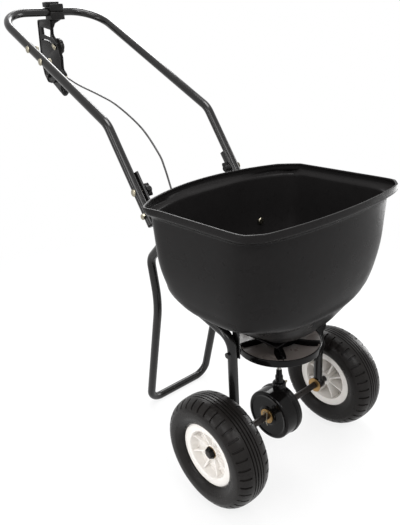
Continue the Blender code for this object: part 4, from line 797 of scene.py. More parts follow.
def fine_tyre_profile():
    half = TYRE_WIDTH / 2

    def crown(offset):
        left = 1 - (offset / half) ** TYRE_ROUNDNESS
        return TYRE_WIDEST_RADIUS + (WHEEL_RADIUS - TYRE_WIDEST_RADIUS) * left ** (1 / TYRE_ROUNDNESS)

    side = []
    for middle, width, depth in TYRE_GROOVES:
        lip, foot, bottom = 0.62 * width, 0.36 * width, crown(middle) - depth
        side += [(crown(middle - lip), middle - lip), (bottom, middle - foot),
                 (bottom, middle + foot), (crown(middle + lip), middle + lip)]
    side += [(crown(offset), offset) for offset in CROWN_OFFSETS]
    side += [
        (0.1128, 0.0441), (0.1120, 0.0447), (0.1090, 0.0452),
        (0.1040, 0.0454), (0.0985, 0.0452), (0.0930, 0.0447), (0.0918, 0.0440), (0.0880, 0.0430),
        (0.0845, 0.0411), (0.0832, 0.0402), (0.0805, 0.0392), (0.0780, 0.0366), (0.0765, 0.0340),
        (RIM_RADIUS + GAP, 0.0325),
    ]
    seat = RIM_WIDTH / 2 - RIM_FLANGE - GAP
    side += [(RIM_RADIUS + GAP, seat), (RIM_RADIUS - BEAD_DEPTH + GAP, seat)]
    return [(r, t) for r, t in reversed(side)] + [(r, -t) for r, t in side]


def lug_depth(radius, offset, share):
    """How far the shoulder is cut in between two lugs."""
    between = abs(offset) >= LUG_START and radius >= LUG_RADIUS and 0.42 < share < 0.58
    return LUG_DEPTH if between else 0.0


def fine_wheel(side, prefix, body):
    axis = outward_axis(side)
    place = Matrix.Translation((side * WHEEL_X, 0, AXLE_Z)) @ AIM[axis]
    profile = fine_tyre_profile()
    columns = []
    for i in range(LUG_COUNT):
        for share in LUG_STATIONS:
            column = []
            for radius, offset in profile:
                shift = 0.5 if offset < 0 else 0.0
                turn = 2 * pi * (i + share + shift) / LUG_COUNT
                cutin = lug_depth(radius, offset, share)
                reach = radius - 0.75 * cutin
                across = offset - copysign(0.65 * cutin, offset)
                column.append(place @ Vector((reach * cos(turn), reach * sin(turn), across)))
            columns.append(column)
    dress(grid(columns), RUBBER, body, prefix + "_tyre")

    half = RIM_WIDTH / 2
    channel = RIM_RADIUS - BEAD_DEPTH
    barrel = channel - BARREL_WALL
    bore = AXLE_RADIUS + RUNNING_GAP
    web = WEB_OFFSET + WEB_THICKNESS
    face = eased([
        (bore, HUB_OUTER), (HUB_RADIUS - 0.001, HUB_OUTER), (HUB_RADIUS, web),
        (0.040, web), (0.042, web + 0.0025), (0.045, web + 0.0025), (0.047, web),
        (barrel - 0.0035, web), (barrel - 0.0022, half - 0.0022),
        (barrel - 0.0005, half - 0.0002), (barrel + 0.0035, half), (RIM_RADIUS - 0.0035, half - 0.0002),
        (RIM_RADIUS, half - 0.0012), (RIM_RADIUS, half - RIM_FLANGE),
    ], 0.0014)
    back = [
        (channel, half - RIM_FLANGE), (channel, RIM_FLANGE - half), (RIM_RADIUS, RIM_FLANGE - half),
        (RIM_RADIUS, -half), (barrel, -half), (barrel - 0.002, WEB_OFFSET),
        (HUB_RADIUS, WEB_OFFSET), (HUB_RADIUS, -half), (bore, -half),
    ]
    pieces = [turned(face + back, place.translation, axis, 144, ring=True)]
    for low, high, top, dip in (
        (WEB_OFFSET + WEB_THICKNESS / 2, HUB_OUTER - 0.0012, half - 0.0050, 0.004),
        (WEB_OFFSET + 0.001, -half + 0.004, -half + 0.006, -0.002),
    ):
        outline = [(HUB_RADIUS - 0.002, low), (barrel - 0.001, low), (barrel - 0.001, top),
                   (0.050, top - dip), (HUB_RADIUS - 0.002, high)]
        for i in range(RIB_COUNT):
            rib = plate("XZ", outline, -RIB_THICKNESS / 2, RIB_THICKNESS / 2)
            turn = Matrix.Rotation(2 * pi * (i + 0.5) / RIB_COUNT, 4, "Z")
            rib.matrix_world = place @ turn @ rib.matrix_world
            pieces.append(softened(rib, 0.0011, 3, 30))
    dress(merged(*pieces), WHITE_PLASTIC, body, prefix + "_rim")


def axle_ends():
    """The dark axle, and on each end a pressed cap over a bronze washer."""
    start = WHEEL_X + HUB_OUTER + GAP
    end = WHEEL_X + HUB_OUTER + AXLE_OVERHANG
    bore = AXLE_RADIUS + GAP
    centre = Vector((0, 0, AXLE_Z))
    profile = eased([(0, end), (AXLE_RADIUS - 0.0009, end), (AXLE_RADIUS, end - 0.0009),
                     (AXLE_RADIUS, 0.9 * end), (AXLE_RADIUS, 0)], 0.0004, 3)
    mirrored = [(r, -t) for r, t in reversed(profile)]
    dress(turned(profile + mirrored[1:], centre, "X", 48), AXLE_STEEL, "drive_axle", "axle")
    for side, name in SIDES:
        axis = outward_axis(side)
        flange = hex_radius(NUT_ACROSS) - 0.0004
        washer = turned(eased([
            (bore, start + 0.0016), (flange, start + 0.0014), (flange, start), (bore, start),
        ], 0.0003, 2), centre, axis, 48, ring=True)
        dress(washer, BRASS, "drive_axle", name="hub_washer_" + name)
        star = []
        for k in range(STAR_POINTS):
            turn, reach = 2 * pi * (k + 0.3) / STAR_POINTS, STAR_REACH[k % len(STAR_REACH)]
            star.append((reach * cos(turn), AXLE_Z + reach * sin(turn)))
        near, far = sorted((side * (start + 0.0016), side * (start + 0.0034)))
        cap = plate("YZ", smooth_corners(star, 0.0012, 4), near, far, [circle((0, AXLE_Z), bore, 32)])
        dress(cap, BLACK_PLASTIC, "drive_axle", name="hub_star_" + name, soft=0.0004)
        points = []
        for k in range(CAP_LOBES):
            for share, reach in CAP_LOBE:
                turn = 2 * pi * (k + share) / CAP_LOBES
                points.append((reach * cos(turn), reach * sin(turn)))
        low, high = start + 0.0018, start + NUT_THICKNESS
        rings = [(0.72, low), (1.0, low), (1.0, low + 0.0026), (0.90, high - 0.0010), (0.76, high)]
        columns = []
        for x, y in points:
            column = [Vector((x * s, y * s, z)) for s, z in rings]
            column += [Vector((x, y, 0)).normalized() * bore + Vector((0, 0, z)) for z in (high, low)]
            columns.append([centre + AIM[axis] @ p for p in column])
        dress(grid(columns), BLACK_PLASTIC, "drive_axle", "axle_nut_" + name)


# Frame, stand and handle

def fine_frame():
    for side, name in SIDES:
        path = rounded([
            (side * POST_X, 0, AXLE_Z + 0.5 * SLEEVE_RADIUS), (side * POST_X, 0, POST_TOP_Z),
            (side * REAR_BEND_X, REAR_BEND_Y, REAR_BEND_Z),
            Vector((side * JOINT_X, 0, 0)) + FOLD - LOWER_ARM * FRAME_BEFORE_FOLD,
            Vector((side * JOINT_X, 0, 0)) + FOLD + LOWER_ARM * FRAME_BEYOND_FOLD,
        ], [POST_BEND_RADIUS, REAR_BEND_RADIUS, 0.05])
        tube = pipe(finer(path, 0.006), TUBE_RADIUS, FINE, wall=TUBE_WALL)
        flatten_joint_end(tube, side)
        tube = cut(tube, wing_notch(side))
        centre = Vector((side * POST_X, 0, AXLE_Z))
        sleeve = turned(eased([
            (BUSHING_RADIUS + GAP, SLEEVE_HALF), (SLEEVE_RADIUS, SLEEVE_HALF),
            (SLEEVE_RADIUS, -SLEEVE_HALF), (BUSHING_RADIUS + GAP, -SLEEVE_HALF),
        ], 0.0008, 3), centre, "X", 64, ring=True)
        weld = turned(WELD_BEAD, (side * POST_X, 0, AXLE_Z + SLEEVE_RADIUS - 0.0012), "Z", 48, ring=True)
        dress(merged(tube, sleeve, weld), BLACK_PAINT, "frame", "frame_tube_" + name)
        fine_bushing(centre, -side, SLEEVE_HALF, "axle_bushing_" + name)


def fine_bushing(centre, outward, half_length, name):
    axis = outward_axis(outward)
    bore = AXLE_RADIUS + RUNNING_GAP
    flange = half_length + GAP
    profile = eased([
        (bore, -half_length), (bore, flange + BUSHING_FLANGE),
        (BUSHING_FLANGE_RADIUS, flange + BUSHING_FLANGE), (BUSHING_FLANGE_RADIUS, flange),
        (BUSHING_RADIUS, flange), (BUSHING_RADIUS, -half_length),
    ], 0.0006, 3)
    dress(turned(profile, centre, axis, 56, ring=True), BRASS, "frame", name)


def fine_stand():
    joint = rear_run(STAND_JOINT_Z)
    top_x = joint.x - 2 * TUBE_RADIUS - 2 * GAP
    knee = Vector((0.114, STAND_KNEE_Y, STAND_KNEE_Z))
    top = Vector((top_x, STAND_TOP_Y, STAND_TOP_Z))
    reach = Vector((top_x, joint.y, joint.z))
    tail = reach + (reach - top).normalized() * STAND_TAIL
    half = [tail, top, knee, Vector((STAND_HALF_WIDTH, STAND_FOOT_Y, TUBE_RADIUS))]
    mirrored = [Vector((-p.x, p.y, p.z)) for p in reversed(half)]
    radii = [STAND_TOP_RADIUS, 0.25, STAND_FOOT_RADIUS]
    tube = pipe(rounded(half + mirrored, radii + radii[::-1]), TUBE_RADIUS, FINE, wall=TUBE_WALL)
    dress(tube, BLACK_PAINT, "frame", "stand")
    for side, name in SIDES:
        outside = side * (joint.x + TUBE_RADIUS + SLANT_GAP)
        inside = side * (top_x - TUBE_RADIUS - GAP)
        bolt = fine_bolt((outside, joint.y, joint.z), (inside, joint.y, joint.z))
        dress(bolt, ZINC, "frame", "stand_bolt_" + name)


def dome(radius, start, rise):
    """The profile of a carriage bolt's head, from its rim to its crown."""
    turns = [pi / 2 * k / 8 for k in range(9)]
    return [(radius, 0.0)] + [(radius * cos(turn), start + rise * sin(turn)) for turn in turns]


def fine_bolt(head_face, nut_face, round_head=None):
    """A bolt with a chamfered head, its nut and the thread that stands out of it."""
    head_face, nut_face = Vector(head_face), Vector(nut_face)
    along = (nut_face - head_face).normalized()
    core = BOLT_RADIUS * 0.86
    pieces = [rod(head_face, nut_face + along * (BOLT_NUT + 0.0012), core, 24)]

    def along_axis(profile, start, steps=48):
        return aimed(turned(profile, ORIGIN, "Z", steps, ring=True), start, along)

    def hexagon(start, height, outward):
        prism = rod(start, start + outward * height, hex_radius(HEAD_ACROSS), 6)
        half = HEAD_ACROSS / 2
        cone = rod(start, start + outward * height, half + 0.0022, 40, half - 0.0001)
        return boolean(prism, "INTERSECT", [cone])

    if round_head:
        pieces.append(along_axis([(0.0, 0.0)] + dome(round_head, -0.0005, -DOME_RISE), head_face))
    else:
        pieces.append(hexagon(head_face, HEAD_HEIGHT, -along))
    start = nut_face + along * 0.0003
    pieces.append(hexagon(start, BOLT_NUT - 0.0004, along))
    tip = nut_face + along * (BOLT_NUT - 0.0006)
    thread = []
    for k in range(5):
        thread += [(BOLT_RADIUS * 0.99, THREAD_PITCH * k), (core, THREAD_PITCH * k + THREAD_PITCH / 2)]
    thread += [(0.0012, 0.0027), (0.0012, 0.0)]
    pieces.append(along_axis(thread, tip, 32))
    return merged(*pieces)


def fine_handle():
    tail = FOLD - LOWER_ARM * ARM_TAIL
    half = [tail, ARM_BEND, CROSSBAR]
    right = [Vector((-ARM_X, p.y, p.z)) for p in half]
    left = [Vector((ARM_X, p.y, p.z)) for p in reversed(half)]
    radii = [ARM_BEND_RADIUS, HANDLE_CORNER_RADIUS, HANDLE_CORNER_RADIUS, ARM_BEND_RADIUS]
    tube = pipe(rounded(right + left, radii), TUBE_RADIUS, FINE, wall=TUBE_WALL)
    dress(tube, BLACK_PAINT, "handle_bar", "handle")
    for along, name in zip(ARM_BOLT_ALONG, ("upper", "lower")):
        place = upper_arm(along)
        face = TUBE_RADIUS + GAP
        bolt = fine_bolt((-ARM_X - face, place.y, place.z), (-ARM_X + face, place.y, place.z),
                         round_head=CARRIAGE_HEAD)
        dress(bolt, ZINC, "handle_bar", "arm_bolt_" + name)
    for side, name in SIDES:
        start = Vector((side * ARM_X, tail.y, tail.z))
        cap = turned(eased([
            (0, -GAP), (TUBE_RADIUS, -GAP), (TUBE_RADIUS, -GAP - 0.0014),
            (TUBE_RADIUS - 0.0014, -GAP - 0.003), (0, -GAP - 0.003),
        ], 0.0007, 3), ORIGIN, "Z", 40)
        dress(aimed(cap, start, LOWER_ARM), BLACK_PLASTIC, "handle_bar", "arm_plug_" + name)


def fine_fold_joint():
    outside = ARM_X + TUBE_RADIUS + GAP
    inside = JOINT_X + TUBE_RADIUS - 2 * TUBE_RADIUS * FLATTENED_SHARE - GAP
    for side, name in SIDES:
        bolt = fine_bolt((side * outside, FOLD.y, FOLD.z), (side * inside, FOLD.y, FOLD.z))
        dress(bolt, ZINC, "frame", "fold_bolt_" + name)
        head = Vector((side * outside, WING_BOLT.y, WING_BOLT.z))
        end = Vector((side * (inside - 0.008), WING_BOLT.y, WING_BOLT.z))
        shank = rod(head, end, BOLT_RADIUS, 32)
        cap = turned(dome(CARRIAGE_HEAD, 0.0004, DOME_RISE), ORIGIN, outward_axis(side), 48)
        cap.matrix_world = Matrix.Translation(head) @ cap.matrix_world
        dress(merged(shank, cap), ZINC, "handle_bar", "wing_bolt_" + name)
        dress(fine_wing_knob(side, inside), BLACK_PLASTIC, name + "_wing_knob", "wing_knob_" + name)


def fine_wing_knob(side, inside):
    """A moulded hub with two thick rounded wings."""
    centre = Vector((0, WING_BOLT.y, WING_BOLT.z))
    start = centre + Vector((side * inside, 0, 0))
    length = WING_HUB_LENGTH
    bore = BOLT_RADIUS + GAP
    hub = turned(eased([
        (bore, 0), (WING_HUB_RADIUS - 0.001, 0), (WING_HUB_RADIUS, 0.002),
        (0.8 * WING_HUB_RADIUS, length - 0.002), (0.66 * WING_HUB_RADIUS, length),
        (0, length), (0, 0.0085), (bore, 0.0085),
    ], 0.0012, 3), ORIGIN, outward_axis(-side), 48)
    hub.matrix_world = Matrix.Translation(start) @ hub.matrix_world
    half = WING_SPAN / 2
    pieces = [hub]
    for sign in (-1, 1):
        near = centre + LOWER_ARM * (sign * 0.30 * half)
        far = centre + LOWER_ARM * (sign * 0.72 * half)
        outline = hull_of_two((near.y, near.z), 0.34 * half, (far.y, far.z), 0.28 * half - 0.0002, 14)
        low, high = sorted((side * (inside - 0.0042), side * (inside - length + 0.0022)))
        pieces.append(softened(plate("YZ", outline, low, high), 0.0018, 4, 50))
    return merged(*pieces)


# Hopper and what is under it

def level_at(height):
    """Half width, front, rear and squareness of the hopper at a height, on smooth curves."""
    heights = [row[0] for row in SMOOTH_LEVELS]
    k = max(i for i in range(len(heights) - 1) if heights[i] >= height - 1e-9)
    upper, lower = SMOOTH_LEVELS[k], SMOOTH_LEVELS[k + 1]
    above = SMOOTH_LEVELS[max(0, k - 1)]
    below = SMOOTH_LEVELS[min(len(SMOOTH_LEVELS) - 1, k + 2)]
    gap = upper[0] - lower[0]
    t = (upper[0] - height) / gap
    made = []
    for n in range(1, 5):
        rise = lower[n] - upper[n]
        if k:
            rise = (lower[n] - above[n]) / (above[0] - lower[0]) * gap
        fall = (below[n] - upper[n]) / (upper[0] - below[0]) * gap
        made.append((2 * t ** 3 - 3 * t ** 2 + 1) * upper[n] + (t ** 3 - 2 * t ** 2 + t) * rise
                    + (3 * t ** 2 - 2 * t ** 3) * lower[n] + (t ** 3 - t ** 2) * fall)
    return made


SMOOTH_LEVELS = HOPPER_LEVELS + ((FLOOR_Z, FLOOR_HALF, FLOOR_HALF, FLOOR_HALF, 4.5),)
BODY_TOP = HOPPER_LEVELS[0][0]
BODY_PLAN = (*HOPPER_LEVELS[0][1:], CHAMFER_CUT, REAR_BOW)
MOUTH = (HOPPER_HALF_WIDTH + COLLAR_OUT, HOPPER_FRONT + COLLAR_REACH, MOUTH_REAR,
         MOUTH_SQUARENESS, 0, MOUTH_BOW)


def whole_level(height):
    """The level outline at any height, with the collar that flares out to the mouth."""
    if height <= BODY_TOP:
        return (*level_at(height), CHAMFER_CUT, REAR_BOW)
    share = min(1, (height - BODY_TOP) / COLLAR_FLARE)
    share = share * share * (3 - 2 * share)
    return [low + (high - low) * share for low, high in zip(BODY_PLAN, MOUTH)]


def pulled(x, y, height):
    """The corner by the drive side's tube, drawn out a little along the lip."""
    fade = min(1, max(0, (height - BODY_TOP) / CORNER_FADE))
    away = Vector((x, y)) - PULLED_CORNER
    if away.length > 3 * CORNER_SPREAD:
        return x, y
    push = CORNER_PULL * fade * fade * (3 - 2 * fade) * exp(-(away.length / CORNER_SPREAD) ** 2)
    return x + push * PULL_WAY.x, y + push * PULL_WAY.y


def ring_of(height, out, level=None):
    half_width, front, rear, squareness, cut_off, rear_bow = level or whole_level(height)
    half_width, front, rear = half_width + out, front + out, rear + out
    plan = (half_width, front, rear, squareness, cut_off)
    ring = []
    for i in range(HOPPER_STEPS):
        angle = 2 * pi * i / HOPPER_STEPS
        c, s = cos(angle), sin(angle)
        x = copysign(half_width * abs(c) ** FINE_CROWDING, c)
        y = copysign((rear if s > 0 else front) * abs(s) ** FINE_CROWDING, s)
        low = last_inside(lambda scale: hopper_spread(scale * x, scale * y, *plan) < 1, 0.6, 1.15, 18)
        ring.append((*pulled(low * x, bowed(low * x, low * y, half_width, rear_bow), height), height))
    return ring


def fine_hopper():
    """One moulded shell: the mouth with its bead, the collar, the bowl and the floor with its outlets."""
    top = RIM_Z
    turns = [pi / 2 * k / 4 for k in range(5)]
    rim = [(HOPPER_WALL - MOUTH_EDGE * (1 - cos(turn)), top - MOUTH_EDGE * (1 - sin(turn))) for turn in turns]
    rim += [(MOUTH_EDGE - MOUTH_BEAD - MOUTH_EDGE * sin(turn), top - MOUTH_EDGE * (1 - cos(turn)))
            for turn in turns]
    rim += [(-MOUTH_BEAD, top - 0.0042), (-MOUTH_BEAD * 0.7, top - 0.0052), (0, top - 0.0060)]
    heights = [top - 0.0060 - (0.0070 * k / 2) for k in (1, 2)]
    heights += [BODY_TOP + COLLAR_FLARE * (1 - k / 10) for k in range(1, 10)]
    heights += [BODY_TOP + (FLOOR_Z - BODY_TOP) * k / BOWL_STEPS for k in range(BOWL_STEPS + 1)]
    rings = [ring_of(z, out, MOUTH) for out, z in rim]
    rings += [ring_of(z, 0) for z in heights]
    floor_ring = ring_of(FLOOR_Z, 0)
    hole = HOPPER_BUSHING_RADIUS + GAP
    spin = [atan2(y, x) for x, y, _ in floor_ring]
    for face in (FLOOR_Z, FLOOR_UNDER):
        floor_rings = [[(x * share, y * share, face) for x, y, _ in floor_ring] for share in FLOOR_SHARES]
        floor_rings.append([(hole * cos(turn), hole * sin(turn), face) for turn in spin])
        rings += floor_rings if face == FLOOR_Z else floor_rings[::-1]
    for z in reversed(heights):
        above, below = min(RIM_Z, z + 0.004), max(FLOOR_Z, z - 0.004)
        slope = max(0.0, (whole_level(above)[0] - whole_level(below)[0]) / (above - below))
        wall = HOPPER_WALL * (1 + min(slope, 2.0) ** 2) ** 0.5
        if BODY_TOP + WELD < z < BODY_TOP + COLLAR_FLARE:
            wall = HOPPER_WALL
        rings.append(ring_of(z if z > FLOOR_Z else FLOOR_UNDER, wall, whole_level(z)))
    columns = [[Vector(ring[i]) for ring in rings] for i in range(HOPPER_STEPS)]
    outlets = []
    for side, _ in SIDES:
        near, far = sorted((side * OUTLET_INNER_X, side * (OUTLET_INNER_X + OUTLET_WIDTH)))
        outlets.append(block((near, -OUTLET_LENGTH / 2, FLOOR_Z - 0.01),
                             (far, OUTLET_LENGTH / 2, FLOOR_Z + 0.01)))
    dress(cut(grid(columns), *outlets), HOPPER_PLASTIC, "frame", "hopper")
    bore, flange = SHAFT_RADIUS + RUNNING_GAP, HOPPER_BUSHING_RADIUS + 0.0015
    bush = turned(eased([
        (bore, FLOOR_UNDER), (bore, FLOOR_Z + BUSHING_RISE), (flange, FLOOR_Z + BUSHING_RISE),
        (flange, FLOOR_Z + GAP), (HOPPER_BUSHING_RADIUS, FLOOR_Z + GAP),
        (HOPPER_BUSHING_RADIUS, FLOOR_UNDER),
    ], 0.0004, 3), ORIGIN, "Z", 48, ring=True)
    dress(bush, WHITE_PLASTIC, "frame", "hopper_bushing")
    for side, name in SIDES:
        centre = rear_run(HOPPER_BOLT_Z)
        inside = rear_wall_inside(centre.x, HOPPER_BOLT_Z) - CHAMFER_STANDOFF
        behind = centre.y + TUBE_RADIUS + HEAD_STANDOFF
        bolt = fine_bolt((side * centre.x, inside, centre.z), (side * centre.x, behind, centre.z),
                         round_head=CARRIAGE_HEAD)
        dress(bolt, ZINC, "frame", "hopper_bolt_" + name)


def fine_deflector():
    outline = smooth_corners([
        (-0.020, 0.372), (-0.0265, 0.335), (-0.031, 0.318), (-0.018, 0.290), (-0.030, 0.264),
        (-0.012, 0.226), (-0.007, 0.206), (0.052, 0.206), (0.060, 0.300), (0.056, 0.372),
    ], 0.012, 8)
    sheet = plate("YZ", outline, POST_INSIDE - PLATE_THICKNESS, POST_INSIDE)
    dress(sheet, BLACK_PLASTIC, "frame", "side_deflector", soft=0.0011, level=3)


def fine_brackets():
    drop = HOPPER_WALL * 1.25 + 0.0008
    for side, name in SIDES:
        outer = POST_INSIDE - (PLATE_THICKNESS + GAP if side > 0 else 0)
        inner = outer - BRACKET_THICKNESS
        tip = outer - 0.030
        rise, low = slope_at(outer) - drop, slope_at(tip) - drop
        outline = [(outer, 0.340), (outer, rise), (tip, low), (tip, low - 0.0036),
                   (inner, rise - 0.0048), (inner, 0.340)]
        strap = plate("XZ", [(side * x, z) for x, z in outline], -0.010, 0.010)
        dress(strap, BLACK_PAINT, "frame", "hopper_bracket_" + name, soft=0.0005)
        outside = side * (POST_X + TUBE_RADIUS + GAP)
        bolt = fine_bolt((outside, 0, POST_BOLT_Z), (side * (inner - GAP), 0, POST_BOLT_Z))
        dress(bolt, BLACK_PAINT, "frame", "post_bolt_" + name)


# Impeller, agitator and gearbox

def leaf_outline():
    """The raised leaf that a fin stands on."""
    leaf = []
    for k in range(LEAF_STEPS + 1):
        radius = LEAF_INNER + (LEAF_OUTER - LEAF_INNER) * k / LEAF_STEPS
        leaf.append((radius, LEAF_HALF_WIDTH * sin(pi * (0.12 + 0.88 * k / LEAF_STEPS)) ** 0.8))
    near = [(x, -w - 0.002) for x, w in leaf]
    return near + [(x, w + 0.010 * ((x - LEAF_INNER) / 0.05) ** 2) for x, w in reversed(leaf[:-1])]


def fine_impeller():
    bore = SHAFT_RADIUS + GAP
    top, edge = IMPELLER_TOP_Z, IMPELLER_RADIUS
    bottom, under, inner = top - IMPELLER_BAND, top - IMPELLER_WALL, edge - IMPELLER_WALL
    profile = [
        (bore, bottom), (bore, top + CONE_HEIGHT), (bore + 0.007, top + CONE_HEIGHT),
        (CONE_RADIUS * 0.55, top + 0.6 * CONE_HEIGHT), (CONE_RADIUS, top),
        (edge - 0.0035, top), (edge - 0.0026, top + 0.0005), (edge - 0.0005, top + 0.0002),
        (edge, top - 0.0016), (edge, bottom + 0.0008), (edge - 0.0006, bottom),
        (inner + 0.0005, bottom), (inner, bottom + 0.001), (inner, under),
        (IMPELLER_HUB_RADIUS, under), (IMPELLER_HUB_RADIUS, bottom), (bore, bottom),
    ]
    pieces = [turned(eased(profile, 0.0022)[:-1], ORIGIN, "Z", 160, ring=True)]
    leaf = leaf_outline()
    for i in range(FIN_COUNT):
        turn = 2 * pi * i / FIN_COUNT + radians(FIRST_FIN)
        fin = plate("XY", spun(fin_outline(), turn), under + 0.001, top + FIN_HEIGHT)
        pieces.append(softened(fin, 0.0009, 3, 50))
        pieces.append(plate("XY", spun(leaf, turn), top - 0.0005, top + 0.0012))
    dress(merged(*pieces), GLOSS_BLACK, "spinner", "impeller")
    # A thin ring laid on the impeller's top in light grey: a painted reflection of the bright room on the
    # glossy black disc.
    face = turned(eased([
        (CONE_RADIUS - 0.002, top - 0.0002), (CONE_RADIUS - 0.002, top + 0.0004),
        (edge - 0.0036, top + 0.0004), (edge - 0.0036, top - 0.0002),
    ], 0.0001, 2), ORIGIN, "Z", 96, ring=True)
    dress(face, PAINTED_REFLECTION_GREY, "spinner", name="impeller_painted_reflection")
    shaft = turned(eased([(0, SHAFT_TOP_Z), (SHAFT_RADIUS, SHAFT_TOP_Z), (SHAFT_RADIUS, SHAFT_BOTTOM_Z),
                          (0, SHAFT_BOTTOM_Z)], 0.0008, 3), ORIGIN, "Z", 48)
    dress(shaft, STEEL, "spinner", "impeller_shaft")
    low = FLOOR_Z + BUSHING_RISE + RUNNING_GAP
    outer = SHAFT_RADIUS + 0.004
    collar = eased([
        (bore, low), (bore, low + 0.014), (outer, low + 0.014), (outer, low), (bore, low),
    ], 0.0008, 3)[:-1]
    middle = low + 0.007
    pieces = [turned(collar, ORIGIN, "Z", 48, ring=True)]
    for side, reach, rise in ((-1, 0.024, AGITATOR_HEIGHT), (1, 0.030, 0.55 * AGITATOR_HEIGHT)):
        route = [(side * (bore + 0.002), 0, middle), (side * reach, 0, middle),
                 (side * reach * 1.15, 0, middle + rise)]
        pieces.append(pipe(rounded(route, [0.008], radians(6)), AGITATOR_WIRE, 24))
    dress(merged(*pieces), STEEL, "spinner", "agitator")


def fine_gearbox():
    centre = Vector((0, 0, AXLE_Z))
    bore, seam = BUSHING_RADIUS + GAP, GAP / 2
    for (side, name), depth in zip(SIDES, (CASING_RIGHT, CASING_LEFT)):
        profile = eased([
            (bore, seam), (bore, depth), (BUSHING_FLANGE_RADIUS + 0.004, depth),
            (BUSHING_FLANGE_RADIUS + 0.007, depth - 0.0016), (CASING_RADIUS - 0.012, depth - 0.0016),
            (CASING_RADIUS - 0.009, depth), (CASING_RADIUS - 0.004, depth),
            (CASING_RADIUS, depth - 0.004), (CASING_RADIUS, SEAM_WIDTH / 2 + 0.001),
            (SEAM_RADIUS, SEAM_WIDTH / 2), (SEAM_RADIUS, seam + 0.0006), (SEAM_RADIUS - 0.0006, seam),
            (bore, seam),
        ], 0.0022)[:-1]
        shell = turned(profile, centre, outward_axis(side), 128, ring=True)
        neck_profile = [
            (0, BOOT_TOP_Z), (BOOT_RADIUS * 0.62, BOOT_TOP_Z), (BOOT_RADIUS * 0.75, BOOT_TOP_Z - 0.004),
            (BOOT_RADIUS * 0.8, NECK_TOP_Z + 0.018), (BOOT_RADIUS, NECK_TOP_Z + 0.015),
            (BOOT_RADIUS, NECK_TOP_Z), (NECK_RADIUS - 0.002, NECK_TOP_Z - 0.002),
            (NECK_RADIUS, NECK_TOP_Z - 0.005), (NECK_RADIUS, AXLE_Z + CASING_RADIUS - 0.012),
            (0, AXLE_Z + CASING_RADIUS - 0.012),
        ]
        neck = turned(eased(neck_profile, 0.0012, 3), ORIGIN, "Z", 56)
        near, far = sorted((side * seam, side * 0.06))
        half = block((near, -0.05, 0.15), (far, 0.05, 0.3))
        shaft_bore = rod((0, 0, PINION_Z), (0, 0, BOOT_TOP_Z + 0.01), SHAFT_RADIUS + RUNNING_GAP, 32)
        neck = cut(boolean(neck, "INTERSECT", [half]), shaft_bore)
        dress(merged(shell, neck), GLOSS_BLACK, "frame", "gearbox_housing_" + name)
    half = CASING_WALL / 2
    fine_bushing(Vector((-CASING_RIGHT + half, 0, AXLE_Z)), -1, half, "gearbox_bushing_right")
    fine_bushing(Vector((CASING_LEFT - half, 0, AXLE_Z)), 1, half, "gearbox_bushing_left")
    face = NECK_RADIUS
    fitting = turned(eased([
        (0, face + 0.012), (0.0018, face + 0.012), (0.003, face + 0.010), (0.002, face + 0.008),
        (0.0045, face + 0.0055), (0.0045, face + GAP), (0.003, face + GAP), (0.003, 0.010), (0, 0.010),
    ], 0.0005, 3), (0, 0, FITTING_Z), "X", 32)
    dress(fitting, ZINC, "frame", "grease_fitting")
    dress(fine_hairpin(), ZINC, "drive_axle", "hairpin_cotter")


def fine_hairpin():
    x, reach = HAIRPIN_X, AXLE_RADIUS
    outside = -(AXLE_RADIUS + HAIRPIN_WIRE + GAP)
    route = [
        (x, 0, AXLE_Z - 1.5 * reach), (x, 0, AXLE_Z + 2.1 * reach),
        (x, -0.4 * reach, AXLE_Z + 2.7 * reach), (x, -1.5 * reach, AXLE_Z + 2.4 * reach),
        (x, outside - 0.0012, AXLE_Z + 1.1 * reach), (x, outside, AXLE_Z),
        (x, outside - 0.0012, AXLE_Z - 1.1 * reach), (x, outside - 0.004, AXLE_Z - 1.7 * reach),
    ]
    radii = [0.35 * reach, 0.4 * reach, 0.35 * reach, 0.5 * reach, 0.6 * reach, 0.4 * reach]
    return pipe(rounded(route, radii, radians(6)), HAIRPIN_WIRE, 24)


# Flow control

def crossbar_cutter():
    """The crossbar with its clearance, to cut out of a clamp."""
    middle = Vector((CLAMP_WIDTH / 2, CROSSBAR.y, CROSSBAR.z))
    reach = Vector((0.08, 0, 0))
    return rod(middle - reach, middle + reach, TUBE_RADIUS + GAP, 64)


